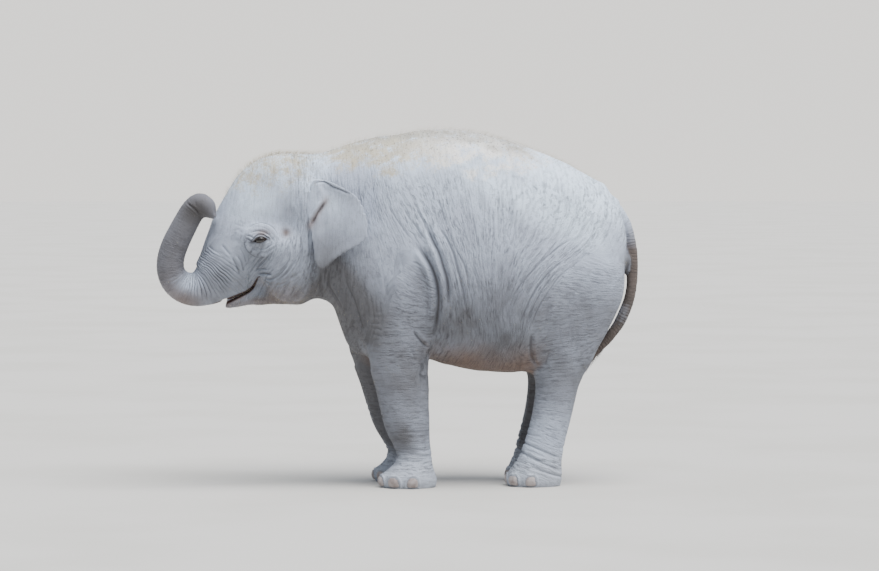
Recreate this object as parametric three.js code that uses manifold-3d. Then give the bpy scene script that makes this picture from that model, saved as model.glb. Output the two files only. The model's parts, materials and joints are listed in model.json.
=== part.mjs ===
// A young Asian elephant, standing with its trunk curled up in front of its face.
// Millimetres, +Z up. The head is towards -X and the animal's left side is towards -Y.
// The origin is on the floor, under the middle of the animal's box.
//
// The flesh is one smooth body: barrel, shoulders, haunches, legs, neck and head are forms whose
// distance functions melt into each other. SkinGeometry meshes the torso, neck and head of that body,
// manifold-3d parts them with flat cuts, and the legs are lofted through rings found on its surface.
// The trunk, tail, ears, lids and hair are lofts of their own.

import * as THREE from "three";
import { LoftGeometry } from "three/addons/geometries/LoftGeometry.js";
import { mergeVertices } from "three/addons/utils/BufferGeometryUtils.js";
import Module from "manifold-3d";

const wasm = await Module();
wasm.setup();

// ---------------------------------------------------------------- driving sizes

const GAP = 0.3; // left between pieces that touch
const HALF_GAP = GAP / 2;
const FRONT_LEG_TOP = 505; // level of the cut under the chest
const HIND_LEG_TOP = 470; // level of the cut under the belly
const WRIST = 300; // front leg: forearm above, lower leg below
const ANKLE_JOINT = 262; // hind leg: shank above, lower leg below
const FRONT_FOOT_TOP = 104;
const HIND_FOOT_TOP = 98;
const LEGS_PART = 170; // the front legs' cut ends here, before the belly comes down
const LEG_SPREAD = { front: 150, hind: 142 }; // from the middle plane to a leg's axis
// How far the right legs stand ahead of the left ones, up each leg.
const FAR_LEG_LEAD = {
  front: [[50, 0], [160, 18], [330, 32], [560, 50]],
  hind: [[60, -30], [200, -6], [400, -4]],
};
const HEAD_CUT = { x: -352, z: 1150, lean: 0.04 }; // head from neck, lean in radians
const NECK_CUT = { x: -190, z: 1200, lean: 0.24 }; // neck from torso
const TRUNK_CUTS = [0.16, 0.42, 0.7]; // shares of the trunk's line where its lengths meet
const EYE = { x: -610, z: 1064, radius: 25, depth: 13 }; // depth is the ball's middle under the skin
const LID = { reach: 29, upper: 16, lower: -14, slant: -4, bulge: 8, roll: 8 };
const JAW_CELL = 22; // mesh sizes
const HEAD_CELL = 26.4;
const NECK_CELL = 50;
const TORSO_CELL = 70;
const LEG_SIDES = 18;
const FOOT_SIDES = 26;
const LEG_RINGS = 5; // along each length of a leg
const TRUNK_SIDES = 16;
const TRUNK_RINGS = 40; // along the whole trunk

// ---------------------------------------------------------------- small mathematics

// A smooth line through [place, value] stations that never overshoots them, flat beyond its ends.
function through(stations) {
  const at = stations.map((s) => s[0]);
  const to = stations.map((s) => s[1]);
  const last = at.length - 1;
  const rise = at.slice(1).map((x, i) => (to[i + 1] - to[i]) / (x - at[i]));
  const slope = at.map((_, i) => {
    if (i === 0) return rise[0];
    if (i === last) return rise[last - 1];
    const [a, b] = [rise[i - 1], rise[i]];
    return a * b > 0 ? (2 * a * b) / (a + b) : 0;
  });
  return (x) => {
    if (x <= at[0]) return to[0];
    if (x >= at[last]) return to[last];
    let i = 0;
    while (x > at[i + 1]) i++;
    const span = at[i + 1] - at[i];
    const t = (x - at[i]) / span;
    const u = 1 - t;
    return (
      to[i] * (1 + 2 * t) * u * u +
      to[i + 1] * (3 - 2 * t) * t * t +
      span * t * u * (slope[i] * u - slope[i + 1] * t)
    );
  };
}

// Reads one column of a table of stations as a smooth line.
const column = (table, place, value) => through(table.map((row) => [row[place], row[value]]));

// Two distances as one body, with a fillet about k wide where they meet.
function melt(a, b, k) {
  const h = Math.max(k - Math.abs(a - b), 0) / k;
  return Math.min(a, b) - (h * h * k) / 4;
}
const hollow = (a, b, k) => -melt(-a, b, k); // a with b taken out

// Distance to an ellipsoid, turned by pitch about the Y axis.
function ellipsoid([cx, cy, cz], [rx, ry, rz], pitch = 0) {
  const c = Math.cos(pitch);
  const s = Math.sin(pitch);
  return (x, y, z) => {
    const u = c * (x - cx) + s * (z - cz);
    const v = y - cy;
    const w = c * (z - cz) - s * (x - cx);
    const near = Math.hypot(u / rx, v / ry, w / rz);
    const steep = Math.hypot(u / rx ** 2, v / ry ** 2, w / rz ** 2);
    return steep > 0 ? (near * (near - 1)) / steep : -Math.min(rx, ry, rz);
  };
}

// Distance to a tapered stick from a to b.
function stick(a, ra, b, rb) {
  const from = new THREE.Vector3(...a);
  const along = new THREE.Vector3(...b).sub(from);
  const p = new THREE.Vector3();
  return (x, y, z) => {
    p.set(x, y, z).sub(from);
    const t = THREE.MathUtils.clamp(p.dot(along) / along.lengthSq(), 0, 1);
    return p.addScaledVector(along, -t).length() - THREE.MathUtils.lerp(ra, rb, t);
  };
}

// ---------------------------------------------------------------- torso and neck

// Along the body: level of the back and of the belly, and half the width.
const BARREL = [
  { x: -440, back: 1412, belly: 905, half: 178 },
  { x: -300, back: 1452, belly: 800, half: 198 },
  { x: -240, back: 1473, belly: 690, half: 214 },
  { x: -187, back: 1488, belly: 610, half: 226 },
  { x: -100, back: 1508, belly: 566, half: 246 },
  { x: 0, back: 1526, belly: 550, half: 264 },
  { x: 100, back: 1541, belly: 550, half: 288 },
  { x: 200, back: 1546, belly: 523, half: 312 },
  { x: 300, back: 1538, belly: 500, half: 330 },
  { x: 400, back: 1516, belly: 487, half: 340 },
  { x: 500, back: 1487, belly: 484, half: 340 },
  { x: 600, back: 1451, belly: 494, half: 328 },
  { x: 700, back: 1413, belly: 535, half: 308 },
  { x: 800, back: 1362, belly: 600, half: 276 },
  { x: 880, back: 1302, belly: 680, half: 230 },
  { x: 940, back: 1212, belly: 770, half: 172 },
  { x: 978, back: 1118, belly: 850, half: 112 },
  { x: 992, back: 1040, belly: 900, half: 66 },
];
const backLevel = column(BARREL, "x", "back");
const bellyLevel = column(BARREL, "x", "belly");
const halfWidth = column(BARREL, "x", "half");
const WAIST = 0.42; // the barrel is widest this share of the way up
const ROUNDNESS = { back: 1.95, belly: 2.25 }; // 2 is an ellipse, more is squarer

function barrel(x, y, z) {
  const along = THREE.MathUtils.clamp(x, BARREL[0].x, BARREL.at(-1).x);
  const top = backLevel(along);
  const bottom = bellyLevel(along);
  const wide = halfWidth(along);
  const waist = bottom + WAIST * (top - bottom);
  const tall = z > waist ? top - waist : waist - bottom;
  const power = z > waist ? ROUNDNESS.back : ROUNDNESS.belly;
  const reach = (Math.abs(y / wide) ** power + Math.abs((z - waist) / tall) ** power) ** (1 / power);
  return (reach - 1) * Math.min(wide, tall) + Math.abs(x - along);
}

// Paired forms are given for y > 0 and read with |y|.
const shoulder = ellipsoid([5, 150, 930], [140, 112, 350], 0.1);
const shoulderBlade = ellipsoid([-30, 150, 1230], [95, 75, 190], -0.1);
const buttock = ellipsoid([806, 116, 960], [184, 142, 290], -0.18);
const hip = ellipsoid([690, 150, 1215], [160, 110, 120], -0.35);
const breast = ellipsoid([-150, 0, 690], [92, 105, 120]);

// ---------------------------------------------------------------- legs

// Up a leg: the centre's place along the body, half the length and half the width of the section.
const FRONT_LEG = [
  { z: 0, x: 34, long: 112, wide: 102 },
  { z: 22, x: 32, long: 122, wide: 112 },
  { z: 52, x: 33, long: 116, wide: 106 },
  { z: 88, x: 48, long: 88, wide: 84 },
  { z: 128, x: 58, long: 73, wide: 72 },
  { z: 187, x: 43, long: 81, wide: 74 },
  { z: 240, x: 28, long: 94, wide: 80 },
  { z: 296, x: 20, long: 102, wide: 84 },
  { z: 350, x: 12, long: 107, wide: 86 },
  { z: 426, x: 4, long: 116, wide: 90 },
  { z: 557, x: -16, long: 132, wide: 98 },
  { z: 709, x: -14, long: 158, wide: 104 },
  { z: 900, x: -5, long: 160, wide: 104 },
];
const HIND_LEG = [
  { z: 0, x: 582, long: 107, wide: 94 },
  { z: 20, x: 580, long: 117, wide: 103 },
  { z: 52, x: 585, long: 114, wide: 101 },
  { z: 91, x: 594, long: 103, wide: 92 },
  { z: 126, x: 607, long: 94, wide: 84 },
  { z: 170, x: 619, long: 89, wide: 78 },
  { z: 213, x: 631, long: 87, wide: 76 },
  { z: 300, x: 654, long: 87, wide: 78 },
  { z: 387, x: 671, long: 90, wide: 83 },
  { z: 431, x: 678, long: 94, wide: 86 },
  { z: 474, x: 686, long: 106, wide: 92 },
  { z: 531, x: 698, long: 130, wide: 98 },
  { z: 626, x: 722, long: 158, wide: 106 },
  { z: 760, x: 770, long: 176, wide: 112 },
  { z: 900, x: 800, long: 170, wide: 112 },
];

// The distance to a leg whose sections are ellipses round a line that leans with its stations.
function leg(stations, spread) {
  const centre = column(stations, "z", "x");
  const long = column(stations, "z", "long");
  const wide = column(stations, "z", "wide");
  const top = stations.at(-1).z;
  return (x, y, z) => {
    const [a, b] = [long(z), wide(z)];
    const side = (Math.hypot((x - centre(z)) / a, (y - spread) / b) - 1) * Math.min(a, b);
    const above = Math.max(z - top, 0);
    return above > 0 ? Math.hypot(Math.max(side, 0), above) : side;
  };
}
const frontLeg = leg(FRONT_LEG, LEG_SPREAD.front);
const hindLeg = leg(HIND_LEG, LEG_SPREAD.hind);
const farLead = { front: through(FAR_LEG_LEAD.front), hind: through(FAR_LEG_LEAD.hind) };
const lead = (end, y, z) => (y > 0 ? farLead[end](z) : 0);

// The toes: how far apart they stand and how far they turn outwards, in radians.
const frontToes = { count: 5, step: 0.74, turn: 0.14, at: FRONT_LEG[1] };
const hindToes = { count: 4, step: 0.78, turn: 0.12, at: HIND_LEG[1] };

const NAIL_DEPTH = 2; // into the foot, before the foot is cut out of it
const NAIL_HALF_ANGLE = 0.25; // of the middle toes, in radians round the foot
const NAIL_NARROWING = 0.03; // of the outermost toes' nails

// Up a nail: the share of its width, and its thickness.
const NAIL = [
  { z: 6, width: 0.9, thick: 6.5 },
  { z: 13, width: 1, thick: 8.5 },
  { z: 27, width: 0.97, thick: 8 },
  { z: 39, width: 0.8, thick: 5.5 },
  { z: 48, width: 0.45, thick: 2.5 },
];

// The toes' angles from straight ahead, from the inner to the outer side.
const toeAngles = ({ count, step, turn }) =>
  Array.from({ length: count }, (_, i) => (i - (count - 1) / 2) * step + turn);

const PAD = { out: 0.83, z: 36, radii: [29, 27, 33] }; // out is a share of the foot's half-length

// A low swelling of the foot behind each nail.
function toePads(toes, spread) {
  const pads = toeAngles(toes).map((angle) => {
    const x = toes.at.x - Math.cos(angle) * toes.at.long * PAD.out;
    const y = spread + Math.sin(angle) * toes.at.wide * PAD.out;
    return ellipsoid([x, y, PAD.z], PAD.radii);
  });
  return (x, y, z) => pads.reduce((near, pad) => Math.min(near, pad(x, y, z)), Infinity);
}
const frontPads = toePads(frontToes, LEG_SPREAD.front);
const hindPads = toePads(hindToes, LEG_SPREAD.hind);

function legs(x, y, z) {
  const side = Math.abs(y);
  const end = x < 300 ? "front" : "hind";
  const along = x + lead(end, y, z);
  if (end === "front") return melt(frontLeg(along, side, z), frontPads(along, side, z), 18);
  return melt(hindLeg(along, side, z), hindPads(along, side, z), 18);
}

// ---------------------------------------------------------------- head

const cranium = ellipsoid([-506, 0, 1236], [206, 170, 198], 0.1);
const dome = ellipsoid([-500, 70, 1325], [134, 86, 106], 0.16);
const forehead = ellipsoid([-655, 0, 1118], [150, 140, 262], -0.47);
const temple = ellipsoid([-506, 230, 1192], [62, 62, 90], -0.2);
const brow = ellipsoid([-606, 122, 1092], [92, 52, 48], 0.15);
const cheek = ellipsoid([-468, 108, 948], [122, 92, 150], -0.15);
const cheekbone = ellipsoid([-505, 140, 1040], [140, 56, 56], -0.1);
const earRoot = ellipsoid([-392, 158, 1200], [48, 42, 108], 0.1);
const muzzle = stick([-600, 0, 1010], 134, [-716, 0, 912], 84);
const jaw = stick([-450, 0, 872], 92, [-585, 0, 838], 52);
const lip = ellipsoid([-664, 0, 812], [112, 58, 30], 0.27);
const throat = stick([-330, 0, 960], 150, [-440, 0, 930], 110);

// The trunk's line from the face to the tip, with its half-thickness at each point.
const TRUNK = [
  { x: -728, y: 0, z: 982, r: 122 },
  { x: -769, y: 0, z: 926, r: 113 },
  { x: -815, y: 0, z: 880, r: 94 },
  { x: -869, y: 0, z: 853, r: 77 },
  { x: -925, y: -2, z: 859, r: 69 },
  { x: -967, y: -6, z: 890, r: 63.5 },
  { x: -987, y: -12, z: 938, r: 59.5 },
  { x: -985, y: -20, z: 990, r: 58.5 },
  { x: -969, y: -31, z: 1042, r: 57.5 },
  { x: -945, y: -43, z: 1094, r: 56 },
  { x: -918, y: -55, z: 1146, r: 54 },
  { x: -893, y: -66, z: 1189, r: 53 },
  { x: -864, y: -77, z: 1216, r: 52.5 },
  { x: -836, y: -86, z: 1211, r: 45 },
];
const trunkLine = new THREE.CatmullRomCurve3(
  TRUNK.map((p) => new THREE.Vector3(p.x, p.y, p.z)),
);
const trunkRadius = through(TRUNK.map((p, i) => [i / (TRUNK.length - 1), p.r]));
const TRUNK_SPREAD = 1.02; // its width against its height
const ROOT_SAMPLES = 40;
const ROOT_SHARE = 0.36; // only the trunk's first part melts into the face
const trunkSamples = Array.from({ length: ROOT_SAMPLES + 1 }, (_, i) => {
  const t = (i / ROOT_SAMPLES) * ROOT_SHARE;
  return { p: trunkLine.getPoint(t), r: trunkRadius(t) };
});
function trunkRoot(x, y, z) {
  let near = Infinity;
  for (const { p, r } of trunkSamples) {
    near = Math.min(near, Math.hypot(x - p.x, (y - p.y) / TRUNK_SPREAD, z - p.z) - r);
  }
  return near;
}

// The mouth's line in the middle plane, from its corner to the open front, and half its height.
const MOUTH = [
  { x: -612, z: 906, half: 3 },
  { x: -624, z: 882, half: 6 },
  { x: -638, z: 858, half: 8 },
  { x: -664, z: 838, half: 8 },
  { x: -716, z: 815, half: 11 },
  { x: -760, z: 793, half: 15 },
  { x: -800, z: 776, half: 19 },
];
const TONGUE = { tip: -742, root: -560, half: 34 }; // it fills the mouth's middle
const MOUTH_FLOOR = { bottom: 700, top: 960 }; // levels the jaw and tongue lie between
function head(x, y, z) {
  const side = Math.abs(y);
  let d = melt(cranium(x, y, z), dome(x, side, z), 40);
  d = melt(d, forehead(x, y, z), 70);
  d = melt(d, muzzle(x, y, z), 60);
  d = melt(d, trunkRoot(x, y, z), 40);
  d = melt(d, cheekbone(x, side, z), 50);
  d = melt(d, brow(x, side, z), 30);
  d = hollow(d, temple(x, side, z), 40);
  d = melt(d, throat(x, y, z), 60);
  d = melt(d, melt(cheek(x, side, z), jaw(x, y, z), 50), 45);
  d = melt(d, lip(x, y, z), 48);
  return melt(d, earRoot(x, side, z), 36);
}

// ---------------------------------------------------------------- tail

const TAIL = [
  { x: 950, y: 0, z: 1192, r: 31 },
  { x: 996, y: 0, z: 1118, r: 28 },
  { x: 1020, y: 0, z: 1040, r: 23 },
  { x: 1028, y: 0, z: 965, r: 20.5 },
  { x: 1028, y: 0, z: 890, r: 19 },
  { x: 1019, y: 0, z: 820, r: 18 },
  { x: 999, y: 1, z: 755, r: 17.5 },
  { x: 966, y: 2, z: 688, r: 17 },
  { x: 920, y: 4, z: 625, r: 16 },
  { x: 866, y: 6, z: 570, r: 15 },
  { x: 815, y: 8, z: 515, r: 13.5 },
  { x: 776, y: 10, z: 458, r: 12 },
  { x: 752, y: 11, z: 405, r: 9 },
];
const tailLine = new THREE.CatmullRomCurve3(TAIL.map((p) => new THREE.Vector3(p.x, p.y, p.z)));
const tailRadius = through(TAIL.map((p, i) => [i / (TAIL.length - 1), p.r]));
const tailHead = stick([870, 0, 1250], 66, [962, 0, 1172], 40);

// ---------------------------------------------------------------- the whole body

function body(x, y, z) {
  const side = Math.abs(y);
  let d = melt(barrel(x, y, z), shoulder(x, side, z), 45);
  d = melt(d, shoulderBlade(x, side, z), 50);
  d = melt(d, breast(x, y, z), 60);
  d = melt(d, buttock(x, side, z), 50);
  d = melt(d, hip(x, side, z), 60);
  d = melt(d, tailHead(x, y, z), 40);
  d = melt(d, legs(x, y, z), 42);
  return x < -150 ? melt(d, head(x, y, z), 55) : d;
}

// ---------------------------------------------------------------- meshing the body

// A closed mesh of the surface where field is zero, inside a box, with cells of about one size.
// Each crossed cell holds one vertex, which is then drawn onto the surface.
class SkinGeometry extends THREE.BufferGeometry {
  constructor(field, [x0, x1], [y0, y1], [z0, z1], cell) {
    super();
    const low = [x0, y0, z0];
    const count = [x1 - x0, y1 - y0, z1 - z0].map((span) => Math.round(span / cell) + 3);
    const step = [x1 - x0, y1 - y0, z1 - z0].map((span, i) => span / (count[i] - 3));
    const place = (axis, i) => low[axis] + (i - 1) * step[axis];
    const inside = (x, y, z) =>
      Math.max(x0 - x, x - x1, y0 - y, y - y1, z0 - z, z - z1); // the box, as a distance
    const clipped = (x, y, z) => Math.max(field(x, y, z), inside(x, y, z) + cell / 4);
    const [nx, ny, nz] = count;
    const index = (i, j, k) => (k * ny + j) * nx + i;
    const value = new Float32Array(nx * ny * nz);
    for (let k = 0; k < nz; k++)
      for (let j = 0; j < ny; j++)
        for (let i = 0; i < nx; i++)
          value[index(i, j, k)] = clipped(place(0, i), place(1, j), place(2, k));

    const corners = [0, 1, 2, 3, 4, 5, 6, 7].map((c) => [c & 1, (c >> 1) & 1, c >> 2]);
    const edges = corners.flatMap((_, a) =>
      [1, 2, 4].filter((bit) => !(a & bit)).map((bit) => [a, a | bit]),
    );
    const vertexOf = new Int32Array(nx * ny * nz).fill(-1);
    const points = [];
    for (let k = 0; k < nz - 1; k++)
      for (let j = 0; j < ny - 1; j++)
        for (let i = 0; i < nx - 1; i++) {
          const v = corners.map(([a, b, c]) => value[index(i + a, j + b, k + c)]);
          const sum = [0, 0, 0];
          let crossings = 0;
          for (const [a, b] of edges) {
            if (v[a] < 0 === v[b] < 0) continue;
            const t = v[a] / (v[a] - v[b]);
            [i, j, k].forEach((at, axis) => {
              sum[axis] += place(axis, at + corners[a][axis] + t * (corners[b][axis] - corners[a][axis]));
            });
            crossings++;
          }
          if (!crossings) continue;
          vertexOf[index(i, j, k)] = points.length;
          points.push(this.drawn(clipped, sum.map((s) => s / crossings), cell));
        }

    const faces = [];
    const strides = [index(1, 0, 0), index(0, 1, 0), index(0, 0, 1)];
    for (let k = 1; k < nz - 1; k++)
      for (let j = 1; j < ny - 1; j++)
        for (let i = 1; i < nx - 1; i++)
          for (let axis = 0; axis < 3; axis++) {
            const here = index(i, j, k);
            const solid = value[here] < 0;
            if (solid === value[here + strides[axis]] < 0) continue;
            const [u, w] = [strides[(axis + 1) % 3], strides[(axis + 2) % 3]];
            const ring = [here, here - u, here - u - w, here - w].map((c) => vertexOf[c]);
            if (!solid) ring.reverse();
            const [a, b, c, d] = ring;
            const across = points[a].distanceTo(points[c]) <= points[b].distanceTo(points[d]);
            faces.push(...(across ? [a, b, c, a, c, d] : [b, c, d, b, d, a]));
          }
    const flat = points.flatMap((p) => p.toArray());
    this.setAttribute("position", new THREE.Float32BufferAttribute(flat, 3));
    this.setIndex(faces);
  }

  // Moves a point onto the surface along the field's slope.
  drawn(field, [x, y, z], cell) {
    const start = new THREE.Vector3(x, y, z);
    const p = start.clone();
    const slope = new THREE.Vector3();
    for (let turn = 0; turn < 3; turn++) {
      const d = field(p.x, p.y, p.z);
      slope.set(
        field(p.x + 1, p.y, p.z) - field(p.x - 1, p.y, p.z),
        field(p.x, p.y + 1, p.z) - field(p.x, p.y - 1, p.z),
        field(p.x, p.y, p.z + 1) - field(p.x, p.y, p.z - 1),
      );
      slope.divideScalar(2);
      if (slope.lengthSq() < 0.01) break;
      p.addScaledVector(slope, -d / slope.lengthSq());
    }
    const moved = p.distanceTo(start);
    return moved > cell / 2 ? start.lerp(p, cell / 2 / moved) : p;
  }
}

// ---------------------------------------------------------------- solids and cuts

// A geometry as a manifold-3d solid, turned inside out if its faces point inwards.
function solid(geometry) {
  const bare = new THREE.BufferGeometry().copy(geometry);
  bare.deleteAttribute("normal");
  bare.deleteAttribute("uv");
  const merged = mergeVertices(bare, 1e-3);
  const triVerts = new Uint32Array(merged.index.array);
  const vertProperties = merged.attributes.position.array;
  const make = () => new wasm.Manifold(new wasm.Mesh({ numProp: 3, vertProperties, triVerts }));
  const made = make();
  if (made.volume() > 0) return made;
  for (let i = 0; i < triVerts.length; i += 3) {
    [triVerts[i + 1], triVerts[i + 2]] = [triVerts[i + 2], triVerts[i + 1]];
  }
  return make();
}

// A solid's largest closed surface, so that no scrap of a cut is left.
function largest(made) {
  return made.decompose().sort((a, b) => b.volume() - a.volume())[0];
}

function geometryOf(made) {
  const mesh = largest(made).getMesh();
  const geometry = new THREE.BufferGeometry();
  geometry.setAttribute("position", new THREE.Float32BufferAttribute(mesh.vertProperties, 3));
  geometry.setIndex(new THREE.Uint32BufferAttribute(mesh.triVerts, 1));
  geometry.computeVertexNormals();
  return geometry;
}

// A geometry with every vertex pushed out along its normal, for cutting its neighbour clear of it.
function grown(geometry, by) {
  const swollen = mergeVertices(new THREE.BufferGeometry()
    .setAttribute("position", geometry.attributes.position.clone())
    .setIndex(geometry.index.clone()), 1e-3);
  swollen.computeVertexNormals();
  const { position, normal } = swollen.attributes;
  for (let i = 0; i < position.count; i++) {
    position.setXYZ(
      i,
      position.getX(i) + normal.getX(i) * by,
      position.getY(i) + normal.getY(i) * by,
      position.getZ(i) + normal.getZ(i) * by,
    );
  }
  return swollen;
}

const FAR = 3000; // longer than the animal

// A block between two corners.
function block([x0, x1], [y0, y1], [z0, z1]) {
  const box = new THREE.BoxGeometry(x1 - x0, y1 - y0, z1 - z0);
  return solid(box.translate((x0 + x1) / 2, (y0 + y1) / 2, (z0 + z1) / 2));
}

// All that lies behind an upright cut, which leans about the Y axis and is moved back by shift.
function behind({ x, z, lean }, shift) {
  const box = new THREE.BoxGeometry(FAR, FAR, FAR).translate(FAR / 2 + shift, 0, 0);
  return solid(box.rotateY(lean).translate(x, 0, z));
}

// A cross-section of a bent form: a ring round centre, with side and up as its axes.
function ring(centre, side, up, halfWide, halfTall, count) {
  return Array.from({ length: count }, (_, i) => {
    const angle = (i / count) * 2 * Math.PI;
    return centre
      .clone()
      .addScaledVector(side, Math.cos(angle) * halfWide)
      .addScaledVector(up, Math.sin(angle) * halfTall);
  });
}

// The axes of a section of a line that bends mostly in the middle plane.
function axesAt(line, t) {
  const along = line.getTangent(t);
  const side = new THREE.Vector3(0, 1, 0).addScaledVector(along, -along.y).normalize();
  return { along, side, up: new THREE.Vector3().crossVectors(along, side) };
}

// A length of a bent form from share t0 to t1 of its line.
function bentLength(line, radius, t0, t1, rings, sides, flatness) {
  const sections = Array.from({ length: rings + 1 }, (_, i) => {
    const t = THREE.MathUtils.lerp(t0, t1, i / rings);
    const { side, up } = axesAt(line, t);
    return ring(line.getPoint(t), side, up, radius(t) * flatness, radius(t), sides);
  });
  return new LoftGeometry(sections, { capStart: true, capEnd: true });
}

// ---------------------------------------------------------------- the model

const elephant = new THREE.Group();
const hide = new THREE.MeshStandardMaterial({ color: 0x8f8d92, roughness: 0.85 });
const earHide = new THREE.MeshStandardMaterial({ color: 0x9c9fa4, roughness: 0.8 });
const nailHorn = new THREE.MeshStandardMaterial({ color: 0xb7aa9f, roughness: 0.55 });
const eyeBall = new THREE.MeshStandardMaterial({ color: 0x2a1c14, roughness: 0.1 });
const tuftHair = new THREE.MeshStandardMaterial({ color: 0x2c2826, roughness: 0.7 });

function add(name, made, material) {
  const mesh = new THREE.Mesh(made.isBufferGeometry ? made : geometryOf(made), material);
  mesh.name = name;
  elephant.add(mesh);
  return mesh;
}

// ---- torso and neck

const belowChest = block([-FAR, LEGS_PART], [-FAR, FAR], [-FAR, FRONT_LEG_TOP + HALF_GAP]);
const bodySkin = (...box) => solid(new SkinGeometry(body, ...box));
const torso = bodySkin([-330, 1100], [-420, 420], [380, 1640], TORSO_CELL)
  .intersect(behind(NECK_CUT, HALF_GAP))
  .subtract(belowChest)
  .subtract(block([LEGS_PART, FAR], [-FAR, FAR], [-FAR, HIND_LEG_TOP + HALF_GAP]));
const torsoMesh = add("torso", torso, hide);

const neck = bodySkin([-470, -40], [-360, 360], [480, 1600], NECK_CELL)
  .intersect(behind(HEAD_CUT, HALF_GAP))
  .subtract(behind(NECK_CUT, -HALF_GAP))
  .subtract(belowChest);
const neckMesh = add("neck", neck, hide);

// ---- legs

// The point of the body's surface at an angle round an upright line inside it.
function surfacePoint([cx, cy], z, angle, standOff = 0) {
  const [dx, dy] = [Math.cos(angle), Math.sin(angle)];
  let out = 20;
  while (body(cx + out * dx, cy + out * dy, z) < 0) out += 10;
  let inner = out - 10;
  for (let turn = 0; turn < 14; turn++) {
    const half = (inner + out) / 2;
    if (body(cx + half * dx, cy + half * dy, z) < 0) inner = half;
    else out = half;
  }
  return new THREE.Vector3(cx + (inner + standOff) * dx, cy + (inner + standOff) * dy, z);
}

// A nail: a plate on the foot's surface, domed from side to side and narrower at its top.
function nailPlate(centre, angle, halfAngle) {
  const sections = NAIL.map(({ z, width, thick }) => {
    const across = [-1, -0.45, 0.45, 1];
    const point = (u, standOff) => surfacePoint(centre(z), z, angle + u * width * halfAngle, standOff);
    const outer = across.map((u) => point(u, thick * (1 - 0.75 * u * u)));
    const inner = [0.9, -0.9].map((u) => point(u, -NAIL_DEPTH));
    return [...outer, ...inner];
  });
  return solid(new LoftGeometry(sections, { capStart: true, capEnd: true }));
}

// One leg: its lengths from the top to the floor, as [name, top, bottom, sides], and its nails.
function addLeg(side, end, stations, lengths, toes) {
  const spread = side === "left" ? -LEG_SPREAD[end] : LEG_SPREAD[end];
  const centre = column(stations, "z", "x");
  let foot;
  for (const [name, top, bottom, sides] of lengths) {
    const low = bottom === 0 ? 0 : bottom + HALF_GAP;
    const high = top - HALF_GAP;
    const rounding = bottom === 0 ? 1.4 : 1; // rings lie closer together at the sole
    const sections = Array.from({ length: LEG_RINGS + 1 }, (_, i) => {
      const z = THREE.MathUtils.lerp(low, high, (i / LEG_RINGS) ** rounding);
      const middle = [centre(z) - lead(end, spread, z), spread];
      return Array.from({ length: sides }, (_, j) =>
        surfacePoint(middle, z, (j / sides) * 2 * Math.PI));
    });
    const length = solid(new LoftGeometry(sections, { capStart: true, capEnd: true }));
    foot = add(`${end}_${side}_${name}`, length, hide);
  }
  const keepOut = solid(grown(foot.geometry, 2 * GAP));
  toeAngles(toes).forEach((angle, i) => {
    const outermost = Math.abs(i - (toes.count - 1) / 2) / ((toes.count - 1) / 2);
    const forward = side === "left" ? Math.PI + angle : Math.PI - angle;
    const middle = (z) => [centre(z) - lead(end, spread, z), spread];
    const plate = nailPlate(middle, forward, NAIL_HALF_ANGLE - NAIL_NARROWING * outermost);
    add(`${end}_${side}_nail_${i + 1}`, plate.subtract(keepOut), nailHorn);
  });
}

for (const side of ["left", "right"]) {
  addLeg(side, "front", FRONT_LEG, [
    ["forearm", FRONT_LEG_TOP, WRIST, LEG_SIDES],
    ["lower_leg", WRIST, FRONT_FOOT_TOP, LEG_SIDES],
    ["foot", FRONT_FOOT_TOP, 0, FOOT_SIDES],
  ], frontToes);
  addLeg(side, "hind", HIND_LEG, [
    ["shank", HIND_LEG_TOP, ANKLE_JOINT, LEG_SIDES],
    ["lower_leg", ANKLE_JOINT, HIND_FOOT_TOP, LEG_SIDES],
    ["foot", HIND_FOOT_TOP, 0, FOOT_SIDES],
  ], hindToes);
}

// ---- head and jaw

// The block beyond a cut across the trunk.
function beyondTrunk(t, shift, size) {
  const { along } = axesAt(trunkLine, t);
  const turn = new THREE.Quaternion().setFromUnitVectors(new THREE.Vector3(1, 0, 0), along);
  const at = trunkLine.getPoint(t);
  const box = new THREE.BoxGeometry(size, size, size).translate(size / 2 + shift, 0, 0);
  return solid(box.applyQuaternion(turn).translate(at.x, at.y, at.z));
}

// How far out the side of the head lies at a place seen from the side.
function faceY(x, z) {
  let y = 40;
  while (body(x, y, z) < 0) y += 1;
  return y;
}

// A lid: a soft roll along an arc of the eye's opening, from its front corner to its back one.
function lid(side, rise, roll) {
  const steps = 8;
  const sections = Array.from({ length: steps + 1 }, (_, i) => {
    const a = (i / steps) * Math.PI;
    const x = EYE.x - Math.cos(a) * LID.reach;
    const z = EYE.z + Math.sin(a) * rise + Math.cos(a) * LID.slant;
    const centre = new THREE.Vector3(x, side * (faceY(x, z) + Math.sin(a) * LID.bulge - roll * 0.4), z);
    const thick = roll * (0.45 + 0.55 * Math.sin(a));
    const along = new THREE.Vector3(Math.sin(a), 0, (Math.cos(a) * rise) / LID.reach).normalize();
    const outward = new THREE.Vector3(0, side, 0);
    return ring(centre, outward, new THREE.Vector3().crossVectors(along, outward), thick, thick, 6);
  });
  return solid(new LoftGeometry(sections, { capStart: true, capEnd: true }));
}

// The eye's ball, with its poles to the sides.
function eyeGeometry(side, radius) {
  return new THREE.SphereGeometry(radius, 12, 8)
    .rotateX(Math.PI / 2)
    .translate(EYE.x, side * (faceY(EYE.x, EYE.z) - EYE.depth), EYE.z);
}

let headSolid = bodySkin([-960, -230], [-330, 330], [700, 1520], HEAD_CELL)
  .subtract(behind(HEAD_CUT, -HALF_GAP))
  .subtract(beyondTrunk(TRUNK_CUTS[0], -HALF_GAP, 330));
for (const side of [-1, 1]) {
  headSolid = headSolid
    .add(lid(side, LID.upper, LID.roll))
    .add(lid(side, LID.lower, LID.roll))
    .subtract(solid(eyeGeometry(side, EYE.radius + GAP)));
}

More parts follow.
